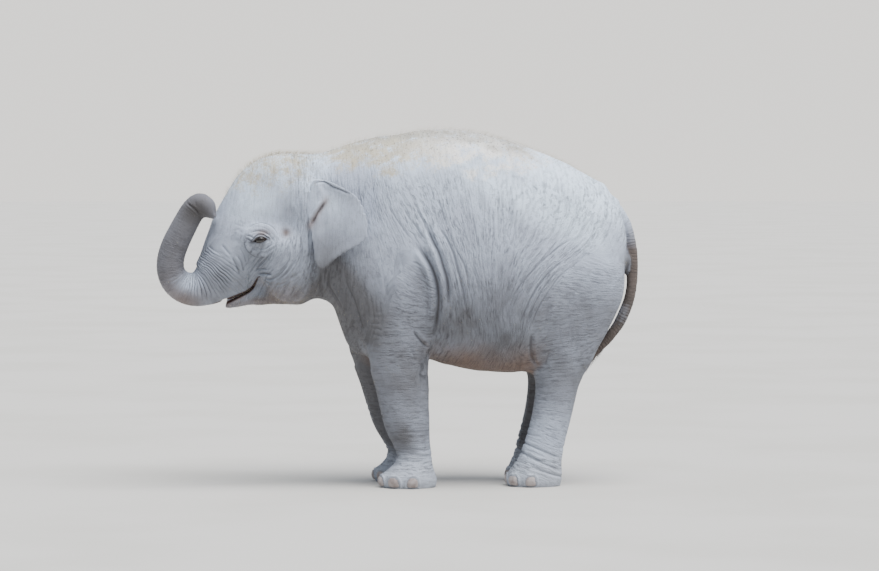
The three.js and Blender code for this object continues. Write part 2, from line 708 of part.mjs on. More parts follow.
// The jaw is what lies under the mouth's line and a cut from its corner down to the throat. The
// mouth opens forwards from its corner, so the cut's upper edge (1) and lower edge (-1) spread.
// The tongue lies on the jaw and reaches the upper edge.
function underMouth(edge, shift = edge * HALF_GAP) {
  const lips = MOUTH.map((p) => new THREE.Vector2(p.x - edge * p.half, p.z + edge * p.half));
  const outline = new THREE.Shape([
    new THREE.Vector2(-880, 740),
    ...lips.reverse(),
    ...[[-560, 882], [-300, 800], [-300, 600], [-880, 600]].map(([x, z]) => new THREE.Vector2(x, z)),
  ]);
  return solid(
    new THREE.ExtrudeGeometry(outline, { depth: 800, bevelEnabled: false })
      .translate(0, shift, -400)
      .rotateX(Math.PI / 2),
  );
}
const headMesh = add("head", headSolid.subtract(underMouth(1)), hide);
const jawSolid = bodySkin([-800, -250], [-230, 230], [MOUTH_FLOOR.bottom, MOUTH_FLOOR.top], JAW_CELL)
  .subtract(behind(HEAD_CUT, -HALF_GAP))
  .intersect(
    underMouth(-1).add(
      underMouth(1, -HALF_GAP).intersect(
        block(
          [TONGUE.tip, TONGUE.root],
          [-TONGUE.half, TONGUE.half],
          [MOUTH_FLOOR.bottom, MOUTH_FLOOR.top],
        ),
      ),
    ),
  );
add("lower_jaw", jawSolid, hide);

for (const side of ["left", "right"]) {
  add(`eye_${side}`, eyeGeometry(side === "left" ? -1 : 1, EYE.radius), eyeBall);
}

// ---- trunk

const cutShare = GAP / 2 / trunkLine.getLength();
const trunkNames = ["trunk_upper", "trunk_middle", "trunk_lower"];
const trunkEnds = [...TRUNK_CUTS, 1];
trunkNames.forEach((name, i) => {
  const from = trunkEnds[i] + cutShare;
  const to = trunkEnds[i + 1] - (i < 2 ? cutShare : 0);
  const rings = Math.round((to - from) * TRUNK_RINGS);
  let piece = solid(bentLength(trunkLine, trunkRadius, from, to, rings, TRUNK_SIDES, TRUNK_SPREAD));
  if (name === "trunk_lower") piece = finishTip(piece);
  add(name, piece, hide);
});

// The trunk's tip: a rounded end with a finger on its front and two nostrils.
function finishTip(piece) {
  const { along, side, up } = axesAt(trunkLine, 1);
  const end = trunkLine.getPoint(1);
  const place = (a, b, c) =>
    end.clone().addScaledVector(along, a).addScaledVector(side, b).addScaledVector(up, c);
  const ball = (radius, at, stretch) =>
    solid(new THREE.SphereGeometry(radius, 12, 8).scale(...stretch).translate(...at.toArray()));
  let tip = piece.add(ball(TRUNK.at(-1).r - 1, place(-4, 0, 0), [1, 1.05, 1]));
  const fingerSign = Math.sign(new THREE.Vector3(1, 0, 0).dot(up)); // towards the face
  const finger = solid(bentLength(
    new THREE.CatmullRomCurve3([
      place(-10, 0, 20 * fingerSign),
      place(14, 0, 25 * fingerSign),
      place(30, 0, 17 * fingerSign),
    ]),
    through([[0, 15], [0.6, 12], [1, 5]]), 0, 1, 4, 8, 1.25,
  ));
  tip = tip.add(finger);
  for (const b of [-13, 13]) {
    const bore = stickSolid(place(4, b, -4 * fingerSign), place(60, b, -4 * fingerSign), 8);
    tip = tip.subtract(bore);
  }
  return tip;
}

// A round bar between two points.
function stickSolid(a, b, radius) {
  const line = new THREE.LineCurve3(a, b);
  return solid(bentLength(line, () => radius, 0, 1, 1, 10, 1));
}

// ---- ears

// Up the ear: the front and back edges' places, how far the leaf stands off, and its thickness.
const EAR = [
  { z: 946, front: -360, back: -340, root: 222, flare: 8, thick: 8 },
  { z: 962, front: -372, back: -318, root: 220, flare: 16, thick: 10 },
  { z: 989, front: -385, back: -292, root: 217, flare: 28, thick: 11 },
  { z: 1028, front: -388, back: -232, root: 213, flare: 50, thick: 12 },
  { z: 1078, front: -398, back: -166, root: 210, flare: 72, thick: 12 },
  { z: 1120, front: -403, back: -164, root: 208, flare: 76, thick: 12 },
  { z: 1172, front: -405, back: -174, root: 206, flare: 76, thick: 13 },
  { z: 1215, front: -403, back: -186, root: 204, flare: 72, thick: 13 },
  { z: 1254, front: -399, back: -206, root: 202, flare: 64, thick: 13 },
  { z: 1284, front: -397, back: -256, root: 199, flare: 48, thick: 13 },
  { z: 1308, front: -391, back: -304, root: 197, flare: 36, thick: 12 },
  { z: 1324, front: -384, back: -336, root: 198, flare: 22, thick: 8 },
];
const EAR_DISH = 14; // how far the leaf is hollowed towards the neck
// The thick fold down the ear's front, which leans back towards its top.
const EAR_FOLD = { rise: 16, width: 0.14, at: (z) => 0.08 + 0.2 * THREE.MathUtils.smoothstep(z, 1110, 1280) };
const EAR_RINGS = 16;
const EAR_POINTS = 8; // across each face

function earLeaf() {
  const line = Object.fromEntries(
    ["front", "back", "root", "flare", "thick"].map((key) => [key, column(EAR, "z", key)]),
  );
  const [low, high] = [EAR[0].z, EAR.at(-1).z];
  const sections = Array.from({ length: EAR_RINGS + 1 }, (_, i) => {
    const share = 0.5 - Math.cos((i / EAR_RINGS) * Math.PI) / 2;
    const z = THREE.MathUtils.lerp(low, high, 0.35 * share + 0.65 * (i / EAR_RINGS));
    const point = (u, face) => {
      const x = THREE.MathUtils.lerp(line.front(z), line.back(z), u);
      const open = line.flare(z) / EAR[5].flare;
      const fold = EAR_FOLD.rise * Math.exp(-(((u - EAR_FOLD.at(z)) / EAR_FOLD.width) ** 2));
      const bend = line.flare(z) * u ** 1.15 + open * (fold - EAR_DISH * Math.sin(Math.PI * u));
      const edge = Math.sqrt(Math.max(1 - (2 * u - 1) ** 6, 0.02));
      const y = line.root(z) + bend + (face * line.thick(z) * edge) / 2;
      return new THREE.Vector3(x, -y, z);
    };
    const across = Array.from({ length: EAR_POINTS }, (_, j) => j / (EAR_POINTS - 1));
    const outer = across.map((u) => point(u, 1));
    const inner = across.map((u) => point(u, -1)).reverse();
    return [...outer, ...inner];
  });
  return new LoftGeometry(sections, { capStart: true, capEnd: true });
}
// Each ear is cut clear of the flesh behind it, grown all round and moved out towards the ear.
const EAR_CLEARANCE = 1;
for (const side of ["left", "right"]) {
  const out = side === "left" ? -1 : 1;
  let ear = solid(earLeaf().scale(1, -out, 1));
  for (const { geometry } of [headMesh, neckMesh, torsoMesh]) {
    ear = ear
      .subtract(solid(grown(geometry, EAR_CLEARANCE)))
      .subtract(solid(new THREE.BufferGeometry().copy(geometry).translate(0, out * EAR_CLEARANCE, 0)));
  }
  add(`ear_${side}`, ear, earHide);
}

// ---- tail and its tuft

const TUFT_FROM = 0.93; // share of the tail's line where the tuft starts
const tail = solid(bentLength(tailLine, tailRadius, 0, TUFT_FROM, 24, 8, 1))
  .subtract(solid(grown(torsoMesh.geometry, GAP)));
add("tail", tail, hide);

// The tuft's locks: flat tapered strands in two rows, behind and before the tail's end.
const LOCKS = 12;
const LOCK_LENGTH = 118;
const tuftStart = TUFT_FROM + cutShare * 2;
const tuftCore = solid(bentLength(tailLine, (t) => tailRadius(t) * 0.98, tuftStart, 1, 3, 8, 1));
const locks = Array.from({ length: LOCKS }, (_, i) => {
  const t = THREE.MathUtils.lerp(tuftStart + 0.008, 0.995, (i % 6) / 5);
  const { along, side, up } = axesAt(tailLine, t);
  const row = i < 6 ? 1 : -1;
  const wobble = Math.sin(i * 2.4) * 0.5;
  const root = tailLine.getPoint(t).addScaledVector(side, wobble * 5);
  const length = LOCK_LENGTH * (0.75 + 0.25 * Math.cos(i * 1.7));
  const line = new THREE.CatmullRomCurve3([
    root,
    root.clone().addScaledVector(along, length * 0.4)
      .addScaledVector(up, row * (9 + 2 * wobble)).addScaledVector(side, wobble * 12),
    root.clone().addScaledVector(along, length)
      .addScaledVector(up, row * (7 + 4 * wobble)).addScaledVector(side, wobble * 20),
  ]);
  return solid(bentLength(line, through([[0, 5], [0.35, 4.5], [1, 0.7]]), 0, 1, 3, 4, 1.5));
});
add("tail_tuft", locks.reduce((all, lock) => all.add(lock), tuftCore).subtract(
  solid(grown(geometryOf(tail), GAP)),
), tuftHair);

// The origin goes under the middle of the box.
const middle = new THREE.Box3().setFromObject(elephant).getCenter(new THREE.Vector3());
elephant.position.set(-middle.x, -middle.y, 0);

export default elephant;
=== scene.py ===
"""A young Asian elephant that stands with its trunk curled up before its face, life size.

One skin covers all the flesh, and the eyes, nails, lashes, bristles and tail hair are pieces of
their own. Metres, +Z up, the head towards -X and the animal's left side towards -Y.
"""

from __future__ import annotations

import json
import logging
import math
from collections.abc import Callable, Iterator, Sequence
from dataclasses import dataclass, field
from enum import Enum

import bpy
import numpy as np
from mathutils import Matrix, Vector
from mathutils.bvhtree import BVHTree

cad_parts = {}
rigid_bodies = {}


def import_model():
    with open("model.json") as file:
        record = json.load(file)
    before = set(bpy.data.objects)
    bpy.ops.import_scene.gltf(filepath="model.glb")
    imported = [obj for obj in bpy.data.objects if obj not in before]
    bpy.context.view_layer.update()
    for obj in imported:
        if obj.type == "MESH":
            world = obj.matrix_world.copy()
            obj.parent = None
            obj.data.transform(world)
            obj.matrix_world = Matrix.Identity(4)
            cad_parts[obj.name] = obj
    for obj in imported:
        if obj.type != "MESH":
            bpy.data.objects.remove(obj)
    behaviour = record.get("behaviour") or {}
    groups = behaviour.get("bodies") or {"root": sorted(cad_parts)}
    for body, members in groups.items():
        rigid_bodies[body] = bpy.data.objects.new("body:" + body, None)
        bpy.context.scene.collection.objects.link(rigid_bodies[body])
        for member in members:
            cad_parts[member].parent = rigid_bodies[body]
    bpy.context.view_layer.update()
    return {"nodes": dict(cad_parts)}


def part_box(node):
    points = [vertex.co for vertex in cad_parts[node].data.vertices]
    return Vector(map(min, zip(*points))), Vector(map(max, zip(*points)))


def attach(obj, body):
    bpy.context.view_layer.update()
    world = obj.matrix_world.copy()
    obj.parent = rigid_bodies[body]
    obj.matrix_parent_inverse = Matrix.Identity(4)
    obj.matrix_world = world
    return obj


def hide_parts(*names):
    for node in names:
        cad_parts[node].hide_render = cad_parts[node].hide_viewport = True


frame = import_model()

log = logging.getLogger("elephant")

Array = np.ndarray
Line = tuple[tuple[float, float], ...]
Knot = tuple[float, float, float, float]
Rgba = tuple[float, float, float, float]
Socket = bpy.types.NodeSocket
Value = Socket | float
Feeds = dict[str | int, object]  # what feeds a node's inputs, by name or number

MM = 0.001
BODY = "root"
WELD = 0.01 * MM  # vertices nearer than this become one
CREASE_STEP = 9 * MM  # how far apart the points of a drawn crease lie
CREASE_JUMP = 0.09  # a point further off than this from the one before lies on another part
TURN_STEP = 7.0  # degrees between the points of a crease round a leg
NAIL_ZONE = 0.085  # the nails and the skin round them lie below this height
EAR_REACH, EAR_MARGIN = 5 * MM, 6 * MM
NAIL_REACH, NAIL_MARGIN = 20 * MM, 16 * MM
HAIR_PATCH = 0.003  # the width of a hair on the unwrap of the skin
UNWRAP = 0.997  # what the unwrap of the skin takes of its square
TRUNK_PART = -0.6  # the trunk lies ahead of this
TAIL_PART = 0.7  # the tail lies behind this
EYE_SIDE = 0.1  # the eyes lie further than this from the middle plane
SENSOR = 36.0
FAR_CLIP = 400.0


class Side(Enum):
    """A side of the animal, with the sign of its Y."""

    LEFT = -1
    RIGHT = 1


class End(Enum):
    """The front or the hind pair of legs."""

    FRONT = "front"
    HIND = "hind"


# ------------------------------------------------------------------------------ small mathematics


def soft_step(value: Array, low: float, high: float) -> Array:
    """Rises smoothly from 0 to 1.

    Args:
        value: Where the step is read.
        low: Where the step is still 0.
        high: Where it has reached 1. It may be less than low, and the step then falls.

    Returns:
        The step's height at each value.
    """
    share = np.clip((value - low) / (high - low), 0.0, 1.0)
    return share * share * (3.0 - 2.0 * share)


def bell(value: Array, width: float) -> Array:
    """Gives a bell curve of that half-width, 1 at its middle."""
    return np.exp(-((value / width) ** 2))


def ripple(points: Array, size: float, seed: int, waves: int = 10) -> Array:
    """Gives a smooth random field over space.

    Args:
        points: Places, one row each.
        size: How far apart its swells lie, in metres.
        seed: Chooses the field.
        waves: How many plane waves are summed.

    Returns:
        A value at each place, mostly between -1 and 1.
    """
    draw = np.random.default_rng(seed)
    total = np.zeros(len(points))
    for _ in range(waves):
        heading = draw.normal(size=3)
        heading *= 2 * math.pi * draw.uniform(0.6, 1.4) / (size * np.linalg.norm(heading))
        total += np.sin(points @ heading + draw.uniform(0, 2 * math.pi))
    return total / math.sqrt(waves)


def smooth_line(knots: Array, step: float) -> Array:
    """Runs a Catmull-Rom curve through knots.

    Args:
        knots: The places that the curve passes through, one row each.
        step: About how far apart its points lie, in metres.

    Returns:
        The curve's points, one row each.
    """
    ends = np.vstack([2 * knots[0] - knots[1], knots, 2 * knots[-1] - knots[-2]])
    pieces = []
    for before, start, stop, after in zip(ends, ends[1:], ends[2:], ends[3:]):
        count = max(2, round(float(np.linalg.norm(stop - start)) / step))
        t = np.linspace(0, 1, count, endpoint=False)[:, None]
        bend = 2 * before - 5 * start + 4 * stop - after
        twist = 3 * start - before - 3 * stop + after
        pieces.append(start + 0.5 * t * (stop - before + t * (bend + t * twist)))
    return np.vstack([*pieces, knots[-1:]])


@dataclass(frozen=True)
class Nearest:
    """How places lie to a path: how far off it, how far along it, and the way it runs there."""

    distance: Array
    along: Array
    share: Array
    offset: Array
    heading: Array


def nearest_on(path: Array, points: Array) -> Nearest:
    """Finds the nearest place of a path to each point."""
    run = np.diff(path, axis=0)
    length = np.maximum(np.linalg.norm(run, axis=1), 1e-9)
    passed = np.concatenate([[0], np.cumsum(length)])
    distance = np.full(len(points), np.inf)
    along = np.zeros(len(points))
    offset = np.zeros(points.shape)
    heading = np.zeros(points.shape)
    for i, start in enumerate(path[:-1]):
        rel = points - start
        part = np.clip(rel @ run[i] / length[i] ** 2, 0, 1)
        gap = rel - part[:, None] * run[i]
        reach = np.sqrt((gap * gap).sum(1))
        closer = reach < distance
        distance[closer] = reach[closer]
        along[closer] = passed[i] + part[closer] * length[i]
        offset[closer] = gap[closer]
        heading[closer] = run[i] / length[i]
    return Nearest(distance, along, along / passed[-1], offset, heading)


# ------------------------------------------------------------------------------ handling of objects


def deselect_all() -> None:
    """Leaves nothing selected."""
    for obj in bpy.context.view_layer.objects:
        obj.select_set(False)


def take(obj: bpy.types.Object) -> bpy.types.Object:
    """Makes an object the only one that is selected, and the active one."""
    deselect_all()
    obj.select_set(True)
    bpy.context.view_layer.objects.active = obj
    return obj


def new_object(name: str, mesh: bpy.types.Mesh) -> bpy.types.Object:
    """Puts a mesh in the scene as an object at the origin."""
    obj = bpy.data.objects.new(name, mesh)
    bpy.context.scene.collection.objects.link(obj)
    return obj


def primitive(name: str) -> bpy.types.Object:
    """Names the primitive that was just added, and its mesh."""
    obj = bpy.context.object
    obj.name = obj.data.name = name
    return obj


def apply_modifier(obj: bpy.types.Object, kind: str, **settings: object) -> None:
    """Adds a modifier with these settings and applies it."""
    take(obj)
    modifier = obj.modifiers.new(kind.lower(), kind)
    for setting, value in settings.items():
        setattr(modifier, setting, value)
    bpy.ops.object.modifier_apply(modifier=modifier.name)


def weld() -> None:
    """Merges the doubled vertices of the active object."""
    bpy.ops.object.mode_set(mode="EDIT")
    bpy.ops.mesh.select_all(action="SELECT")
    bpy.ops.mesh.remove_doubles(threshold=WELD)
    bpy.ops.object.mode_set(mode="OBJECT")


def choose(obj: bpy.types.Object, kind: str, chosen: Array) -> None:
    """Selects some vertices or polygons of a mesh, and nothing else.

    Args:
        obj: The object of the mesh.
        kind: Which of "vertices", "edges" and "polygons" is picked.
        chosen: Whether each of those is selected.
    """
    kinds = ("vertices", "edges", "polygons")
    bpy.context.tool_settings.mesh_select_mode = tuple(kind == other for other in kinds)
    for other in kinds:
        items = getattr(obj.data, other)
        items.foreach_set("select", chosen if kind == other else np.zeros(len(items), bool))


def rows_of(items: bpy.types.bpy_prop_collection, key: str, width: int = 3, kind: type = np.float32) -> Array:
    """Reads one property of all vertices, edges or faces of a mesh, one row each."""
    flat = np.empty(len(items) * width, kind)
    items.foreach_get(key, flat)
    return flat.reshape(-1, width)


def near_node(name: str, points: Array, reach: float, margin: float) -> Iterator[tuple[int, float]]:
    """Finds the points near a CAD node.

    Args:
        name: The node.
        points: Places, one row each.
        reach: How near its surface a point has to lie.
        margin: How far outside its box a point may lie.

    Yields:
        The row of each such point, and how far off the surface it lies.
    """
    mesh = frame["nodes"][name].data
    corners = [vertex.co for vertex in mesh.vertices]
    tree = BVHTree.FromPolygons(corners, [face.vertices for face in mesh.polygons])
    low, high = (np.array(corner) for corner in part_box(name))
    near = np.all((points > low - margin) & (points < high + margin), axis=1)
    for row in np.flatnonzero(near):
        distance = tree.find_nearest(points[row], reach)[3]
        if distance is not None:
            yield row, distance


def nail_nodes() -> list[str]:
    """Names the CAD nodes of the nails."""
    return [name for name in frame["nodes"] if "nail" in name]


def triangle_count(obj: bpy.types.Object) -> int:
    """Counts an object's triangles."""
    return sum(len(face.vertices) - 2 for face in obj.data.polygons)


def settle(obj: bpy.types.Object, slot: str, *nodes: str) -> None:
    """Makes a finished piece ride on the body, in place of its CAD nodes.

    Args:
        obj: The piece.
        slot: The record's material slot. It is not used.
        *nodes: The CAD nodes that it stands for.
    """
    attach(obj, BODY)
    if nodes:
        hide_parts(*nodes)
    log.info("%s: %d triangles", obj.name, triangle_count(obj))


def dress(obj: bpy.types.Object, material: bpy.types.Material) -> None:
    """Makes a piece smooth and gives it its one material."""
    take(obj)
    bpy.ops.object.shade_smooth()
    obj.data.materials.clear()
    obj.data.materials.append(material)


class Surface:
    """The vertices of a mesh as arrays, shaped by formulas and then written back."""

    def __init__(self, obj: bpy.types.Object) -> None:
        """Reads the object's mesh."""
        self.mesh = obj.data
        self.points = rows_of(self.mesh.vertices, "co").astype(float)
        self.tails, self.heads = rows_of(self.mesh.edges, "vertices", 2, np.int32).T
        count = len(self.points)
        self.valence = np.bincount(self.tails, minlength=count) + np.bincount(self.heads, minlength=count)
        self.normals = self.read_normals()

    def read_normals(self) -> Array:
        """Gives the mesh's vertex normals."""
        return rows_of(self.mesh.vertex_normals, "vector").astype(float)

    def store(self) -> None:
        """Writes the points back and reads the new normals."""
        self.mesh.vertices.foreach_set("co", self.points.astype(np.float32).ravel())
        self.mesh.update()
        self.normals = self.read_normals()

    def blurred(self, values: Array, rounds: int) -> Array:
        """Averages values along the edges.

        Args:
            values: One value or one row for each vertex.
            rounds: How many times.

        Returns:
            The averaged values, in the same shape.
        """
        table = values.reshape(len(values), -1).astype(float)
        count = len(table)
        share = 0.9 / np.maximum(self.valence, 1)
        for _ in range(rounds):
            for column in table.T:
                total = np.bincount(self.tails, column[self.heads], count)
                total += np.bincount(self.heads, column[self.tails], count)
                column += share * total - 0.9 * column
        return table.reshape(values.shape)

    def soften(self, weight: Array, rounds: int) -> None:
        """Takes out bumps a few edges across, and keeps the larger forms at their size.

        Args:
            weight: How far each vertex follows, from 0 to 1.
            rounds: The reach of the softening, which grows as its root.
        """
        low = self.blurred(self.points, rounds)
        for _ in range(2):
            low += self.blurred(self.points - low, rounds)
        self.points += weight[:, None] * (low - self.points)
        self.store()

    def push(self, height: Array) -> None:
        """Moves each vertex out along its normal."""
        self.points += self.normals * height[:, None]
        self.store()

    def hollows(self, rounds: int) -> Array:
        """Tells how deep each vertex lies below the surface around it, in metres."""
        blurred = self.blurred(self.points, rounds)
        return ((blurred - self.points) * self.normals).sum(1)

    def tree(self) -> BVHTree:
        """Makes a tree of the faces, for rays."""
        faces = [tuple(face.vertices) for face in self.mesh.polygons]
        return BVHTree.FromPolygons(self.points.tolist(), faces)

    def mark(self, name: str, values: Array) -> None:
        """Keeps a value at each vertex as an attribute that the finishes read."""
        layer = self.mesh.attributes.get(name) or self.mesh.attributes.new(name, "FLOAT", "POINT")
        layer.data.foreach_set("value", values.astype(np.float32))


# ------------------------------------------------------------------------------ creases of the skin


@dataclass(frozen=True)
class Crease:
    """A crease of the skin, drawn in millimetres as (x, z) on the side of the body.

    A roll of skin may stand beside it. A lean of 1 puts all of that roll on the head's side of the
    line, and -1 on the tail's side.
    """

    mm: Line
    depth: float = 3.0
    width: float = 7.0
    # Its darkness is painted shade laid along the groove.
    dark: float = 0.6
    roll: float = 0.35
    lean: float = 0.0

    def knots(self) -> Array:
        """Gives the line's knots in metres."""
        return np.array(self.mm, float) * MM


@dataclass(frozen=True)
class CreaseFan:
    """Like creases spread evenly from a first line to a last one, both left out."""

    first: Line
    last: Line
    count: int
    depth: float = 1.6
    width: float = 4.5
    dark: float = 0.35
    wander: float = 3.0

    def creases(self, draw: np.random.Generator) -> list[Crease]:
        """Draws the creases, each a little off its even place and cut a little short."""
        stations = np.linspace(0, 1, 6)
        first = resampled(np.array(self.first, float), stations)
        last = resampled(np.array(self.last, float), stations)
        made = []
        for i in range(self.count):
            share = (i + 1 + draw.uniform(-0.22, 0.22)) / (self.count + 1)
            line = first + share * (last - first) + draw.normal(0, self.wander, first.shape)
            skip = draw.integers(0, 2)
            line = line[skip : len(line) - draw.integers(0, 2)]
            strength = draw.uniform(0.6, 1.2)
            points = tuple(map(tuple, line))
            made.append(Crease(points, self.depth * strength, self.width, self.dark * strength))
        return made


def resampled(line: Array, stations: Array) -> Array:
    """Reads a broken line at shares of its length."""
    lengths = np.linalg.norm(np.diff(line, axis=0), axis=1)
    at = np.concatenate([[0], np.cumsum(lengths)]) / lengths.sum()
    return np.stack([np.interp(stations, at, column) for column in line.T], 1)


@dataclass(frozen=True)
class LegCrease:
    """A crease round a leg. Its angle is 0 at the front, 90 on the outer side and 180 behind.

    The crease lies at height z, and higher by tilt at the front and lower by it behind.
    """

    z: float
    tilt: float = 0.0
    start: float = -170.0
    stop: float = 170.0
    depth: float = 2.5
    width: float = 6.0
    dark: float = 0.45


NECK_CREASES = (
    Crease(((-312, 952), (-314, 876), (-276, 811), (-242, 745)), 4.5, 9, 0.4, 0.45),
    Crease(((-248, 952), (-238, 876), (-208, 811), (-184, 735), (-166, 658)), 4, 9, 0.35, 0.45),
    Crease(((-345, 930), (-350, 870), (-325, 800)), 3, 8, 0.3, 0.4),
)
SHOULDER_CREASES = (
    Crease(((41, 1063), (72, 1026), (99, 983), (122, 935), (138, 881), (144, 817), (143, 758),
            (138, 692), (127, 632)), 13, 13, 1.0, 0.5, 0.7),
    Crease(((80, 1159), (100, 1116), (120, 1068), (146, 1015), (164, 957), (180, 898), (186, 829),
            (189, 769)), 11, 11, 0.95, 0.5, 0.5),
    Crease(((132, 1154), (157, 1111), (183, 1069), (206, 1015), (224, 952), (240, 882), (257, 802),
            (270, 726)), 5, 6, 0.65, 0.4, 0.3),
    Crease(((174, 1143), (194, 1085), (219, 1026), (248, 973), (266, 909), (275, 845), (281, 791)),
           3, 5, 0.5),
    Crease(((130, 1260), (154, 1218), (174, 1164), (184, 1111)), 2.2, 4.5, 0.4),
    Crease(((-4, 1223), (16, 1175), (42, 1137), (73, 1095), (99, 1063), (120, 1036)), 3, 5, 0.45),
    Crease(((-73, 1222), (-47, 1185), (-21, 1143), (10, 1100), (41, 1063)), 2.4, 4.5, 0.4),
    Crease(((49, 1217), (73, 1166), (94, 1128)), 2.6, 4.5, 0.4),
    Crease(((43, 688), (49, 666), (77, 633), (106, 605)), 5, 7, 0.85, 0.35, -0.5),
    Crease(((22, 635), (33, 596), (50, 563), (73, 530)), 1.8, 6, 0.25),
    Crease(((17, 777), (11, 734), (22, 700), (43, 688)), 1.5, 6, 0.2),
)
SHOULDER_FANS = (
    CreaseFan(((0, 1010), (60, 985), (110, 930)), ((20, 800), (80, 790), (138, 770)), 11, 2.0, 4.5, 0.4),
    CreaseFan(((-20, 1190), (40, 1080)), ((150, 1240), (190, 1090)), 8, 1.6, 4.5, 0.35),
    CreaseFan(((285, 1100), (330, 960), (345, 800)), ((190, 760), (200, 690), (205, 640)), 5, 2.0, 6, 0.3),
    CreaseFan(((-158, 800), (-70, 780)), ((-150, 560), (-90, 560)), 8, 1.8, 5, 0.35),
)
FLANK_CREASES = (
    Crease(((758, 1088), (698, 1060), (656, 1032), (600, 990), (548, 940), (498, 884), (462, 834),
            (420, 777)), 3.0, 5, 0.55, 0.25),
    Crease(((719, 996), (666, 968), (622, 932), (585, 890), (548, 841), (521, 783), (494, 712),
            (489, 668)), 3.8, 5.5, 0.65, 0.25, -0.3),
    Crease(((696, 960), (644, 925), (607, 883), (570, 826), (543, 769), (516, 697)), 2.8, 4.5, 0.55, 0.25),
    Crease(((756, 981), (696, 939), (651, 897), (614, 847), (579, 790), (551, 725), (540, 668)),
           3.2, 5, 0.55, 0.25, -0.4),
    Crease(((622, 804), (613, 754), (604, 696), (606, 652)), 4, 14, 0.25, 0.3),
    Crease(((547, 675), (547, 623), (557, 563), (580, 515)), 7, 9, 0.75, 0.35, -0.7),
    Crease(((633, 593), (621, 549), (612, 519)), 3, 10, 0.3),
)
FLANK_FANS = (
    CreaseFan(((640, 1120), (480, 930), (400, 720)), ((790, 1010), (600, 800), (560, 700)), 17, 1.5, 4, 0.34),
    CreaseFan(((790, 1000), (900, 960)), ((650, 820), (820, 780)), 14, 1.3, 4, 0.3),
    CreaseFan(((640, 700), (690, 560)), ((780, 700), (760, 540)), 4, 1.6, 6, 0.25),
    CreaseFan(((420, 760), (440, 560)), ((280, 740), (300, 590)), 6, 1.8, 6, 0.28),
)
KNEE_CREASES = (
    Crease(((586, 423), (636, 444), (678, 470)), 2, 4.5, 0.4),
    Crease(((586, 402), (629, 401), (679, 416)), 2, 4.5, 0.45),
    Crease(((585, 376), (623, 375)), 2.5, 5, 0.4),
)
FACE_CREASES = (
    Crease(((-560, 1008), (-596, 977), (-620, 942), (-637, 920)), 4.5, 5.5, 0.6, 0.5),
    Crease(((-572, 1016), (-609, 985), (-633, 950), (-650, 911)), 4, 5, 0.5, 0.5),
    Crease(((-624, 937), (-599, 944), (-575, 938)), 3, 5, 0.45, 0.8),
    Crease(((-622, 915), (-595, 924), (-555, 917)), 5, 6, 0.8, 0.6),
    Crease(((-602, 898), (-575, 884), (-558, 874)), 3.5, 5, 0.5, 0.6),
    Crease(((-586, 899), (-559, 900), (-530, 918), (-505, 944), (-488, 974)), 4.5, 6, 0.6, 0.5),
    Crease(((-562, 887), (-530, 901), (-496, 927), (-471, 961), (-462, 999)), 3.5, 6, 0.5, 0.5),
    Crease(((-487, 896), (-453, 918), (-436, 956), (-428, 999)), 2.5, 6, 0.35),
    Crease(((-443, 1239), (-442, 1196), (-436, 1162), (-423, 1123)), 3, 7, 0.45),
    Crease(((-427, 1093), (-430, 1046), (-432, 1008), (-441, 961), (-449, 918)), 3.5, 8, 0.45),
    Crease(((-475, 1059), (-469, 1017), (-471, 982)), 2.5, 6, 0.35),
    Crease(((-497, 1116), (-499, 1098), (-500, 1080)), 3.5, 13, 0.6, 0.2),
)
FACE_FANS = (
    CreaseFan(((-470, 1260), (-455, 1100)), ((-405, 1240), (-400, 1120)), 4, 1.6, 5, 0.3),
    CreaseFan(((-462, 1050), (-475, 920)), ((-405, 1050), (-415, 920)), 4, 1.8, 5, 0.3),
    CreaseFan(((-600, 1000), (-660, 930)), ((-650, 1010), (-690, 930)), 4, 1.8, 4, 0.35),
    CreaseFan(((-580, 905), (-520, 960)), ((-545, 850), (-460, 900)), 5, 1.6, 5, 0.3),
    CreaseFan(((-690, 1200), (-640, 1190)), ((-735, 1090), (-690, 1080)), 5, 1.0, 5, 0.15),
)
EYE_CREASES = (
    Crease(((-650, 1054), (-645, 1045), (-630, 1024), (-608, 1012), (-582, 1016), (-557, 1031), (-539, 1044)),
           2.5, 4.5, 0.45, 0.6),
    Crease(((-676, 1074), (-662, 1071), (-648, 1064), (-636, 1056)), 2.4, 4.5, 0.95, 0.6),
    Crease(((-672, 1086), (-658, 1086), (-645, 1080), (-634, 1072)), 2.4, 4, 0.9, 0.6),
    Crease(((-632, 1042), (-615, 1031), (-589, 1029), (-568, 1042), (-556, 1056)), 2.6, 3.6, 0.5, 0.6),
    Crease(((-661, 1093), (-642, 1103), (-619, 1107), (-596, 1104), (-575, 1093), (-559, 1076),
            (-545, 1052)), 3, 4.5, 0.75, 0.8),
    Crease(((-668, 1118), (-640, 1128), (-606, 1128), (-572, 1112), (-548, 1086), (-530, 1054)),
           2, 5, 0.25, 0.8),
)
TRUNK_CREASES = (
    Crease(((-732, 998), (-711, 959), (-693, 912)), 4.5, 6, 0.55, 0.5),
    Crease(((-711, 1007), (-689, 972), (-676, 920)), 3.5, 5, 0.45, 0.5),
    Crease(((-732, 998), (-753, 1023), (-774, 1049)), 3, 5, 0.4, 0.5),
    Crease(((-700, 1044), (-677, 1000), (-664, 950)), 2.4, 4.5, 0.3, 0.5),
    Crease(((-920, 1226), (-899, 1209), (-878, 1191), (-860, 1174)), 3.5, 4.5, 0.8, 0.5),
)
HEADWARD = np.array([-1.0, 0.0, 0.3])  # tells a crease's head side from its tail side
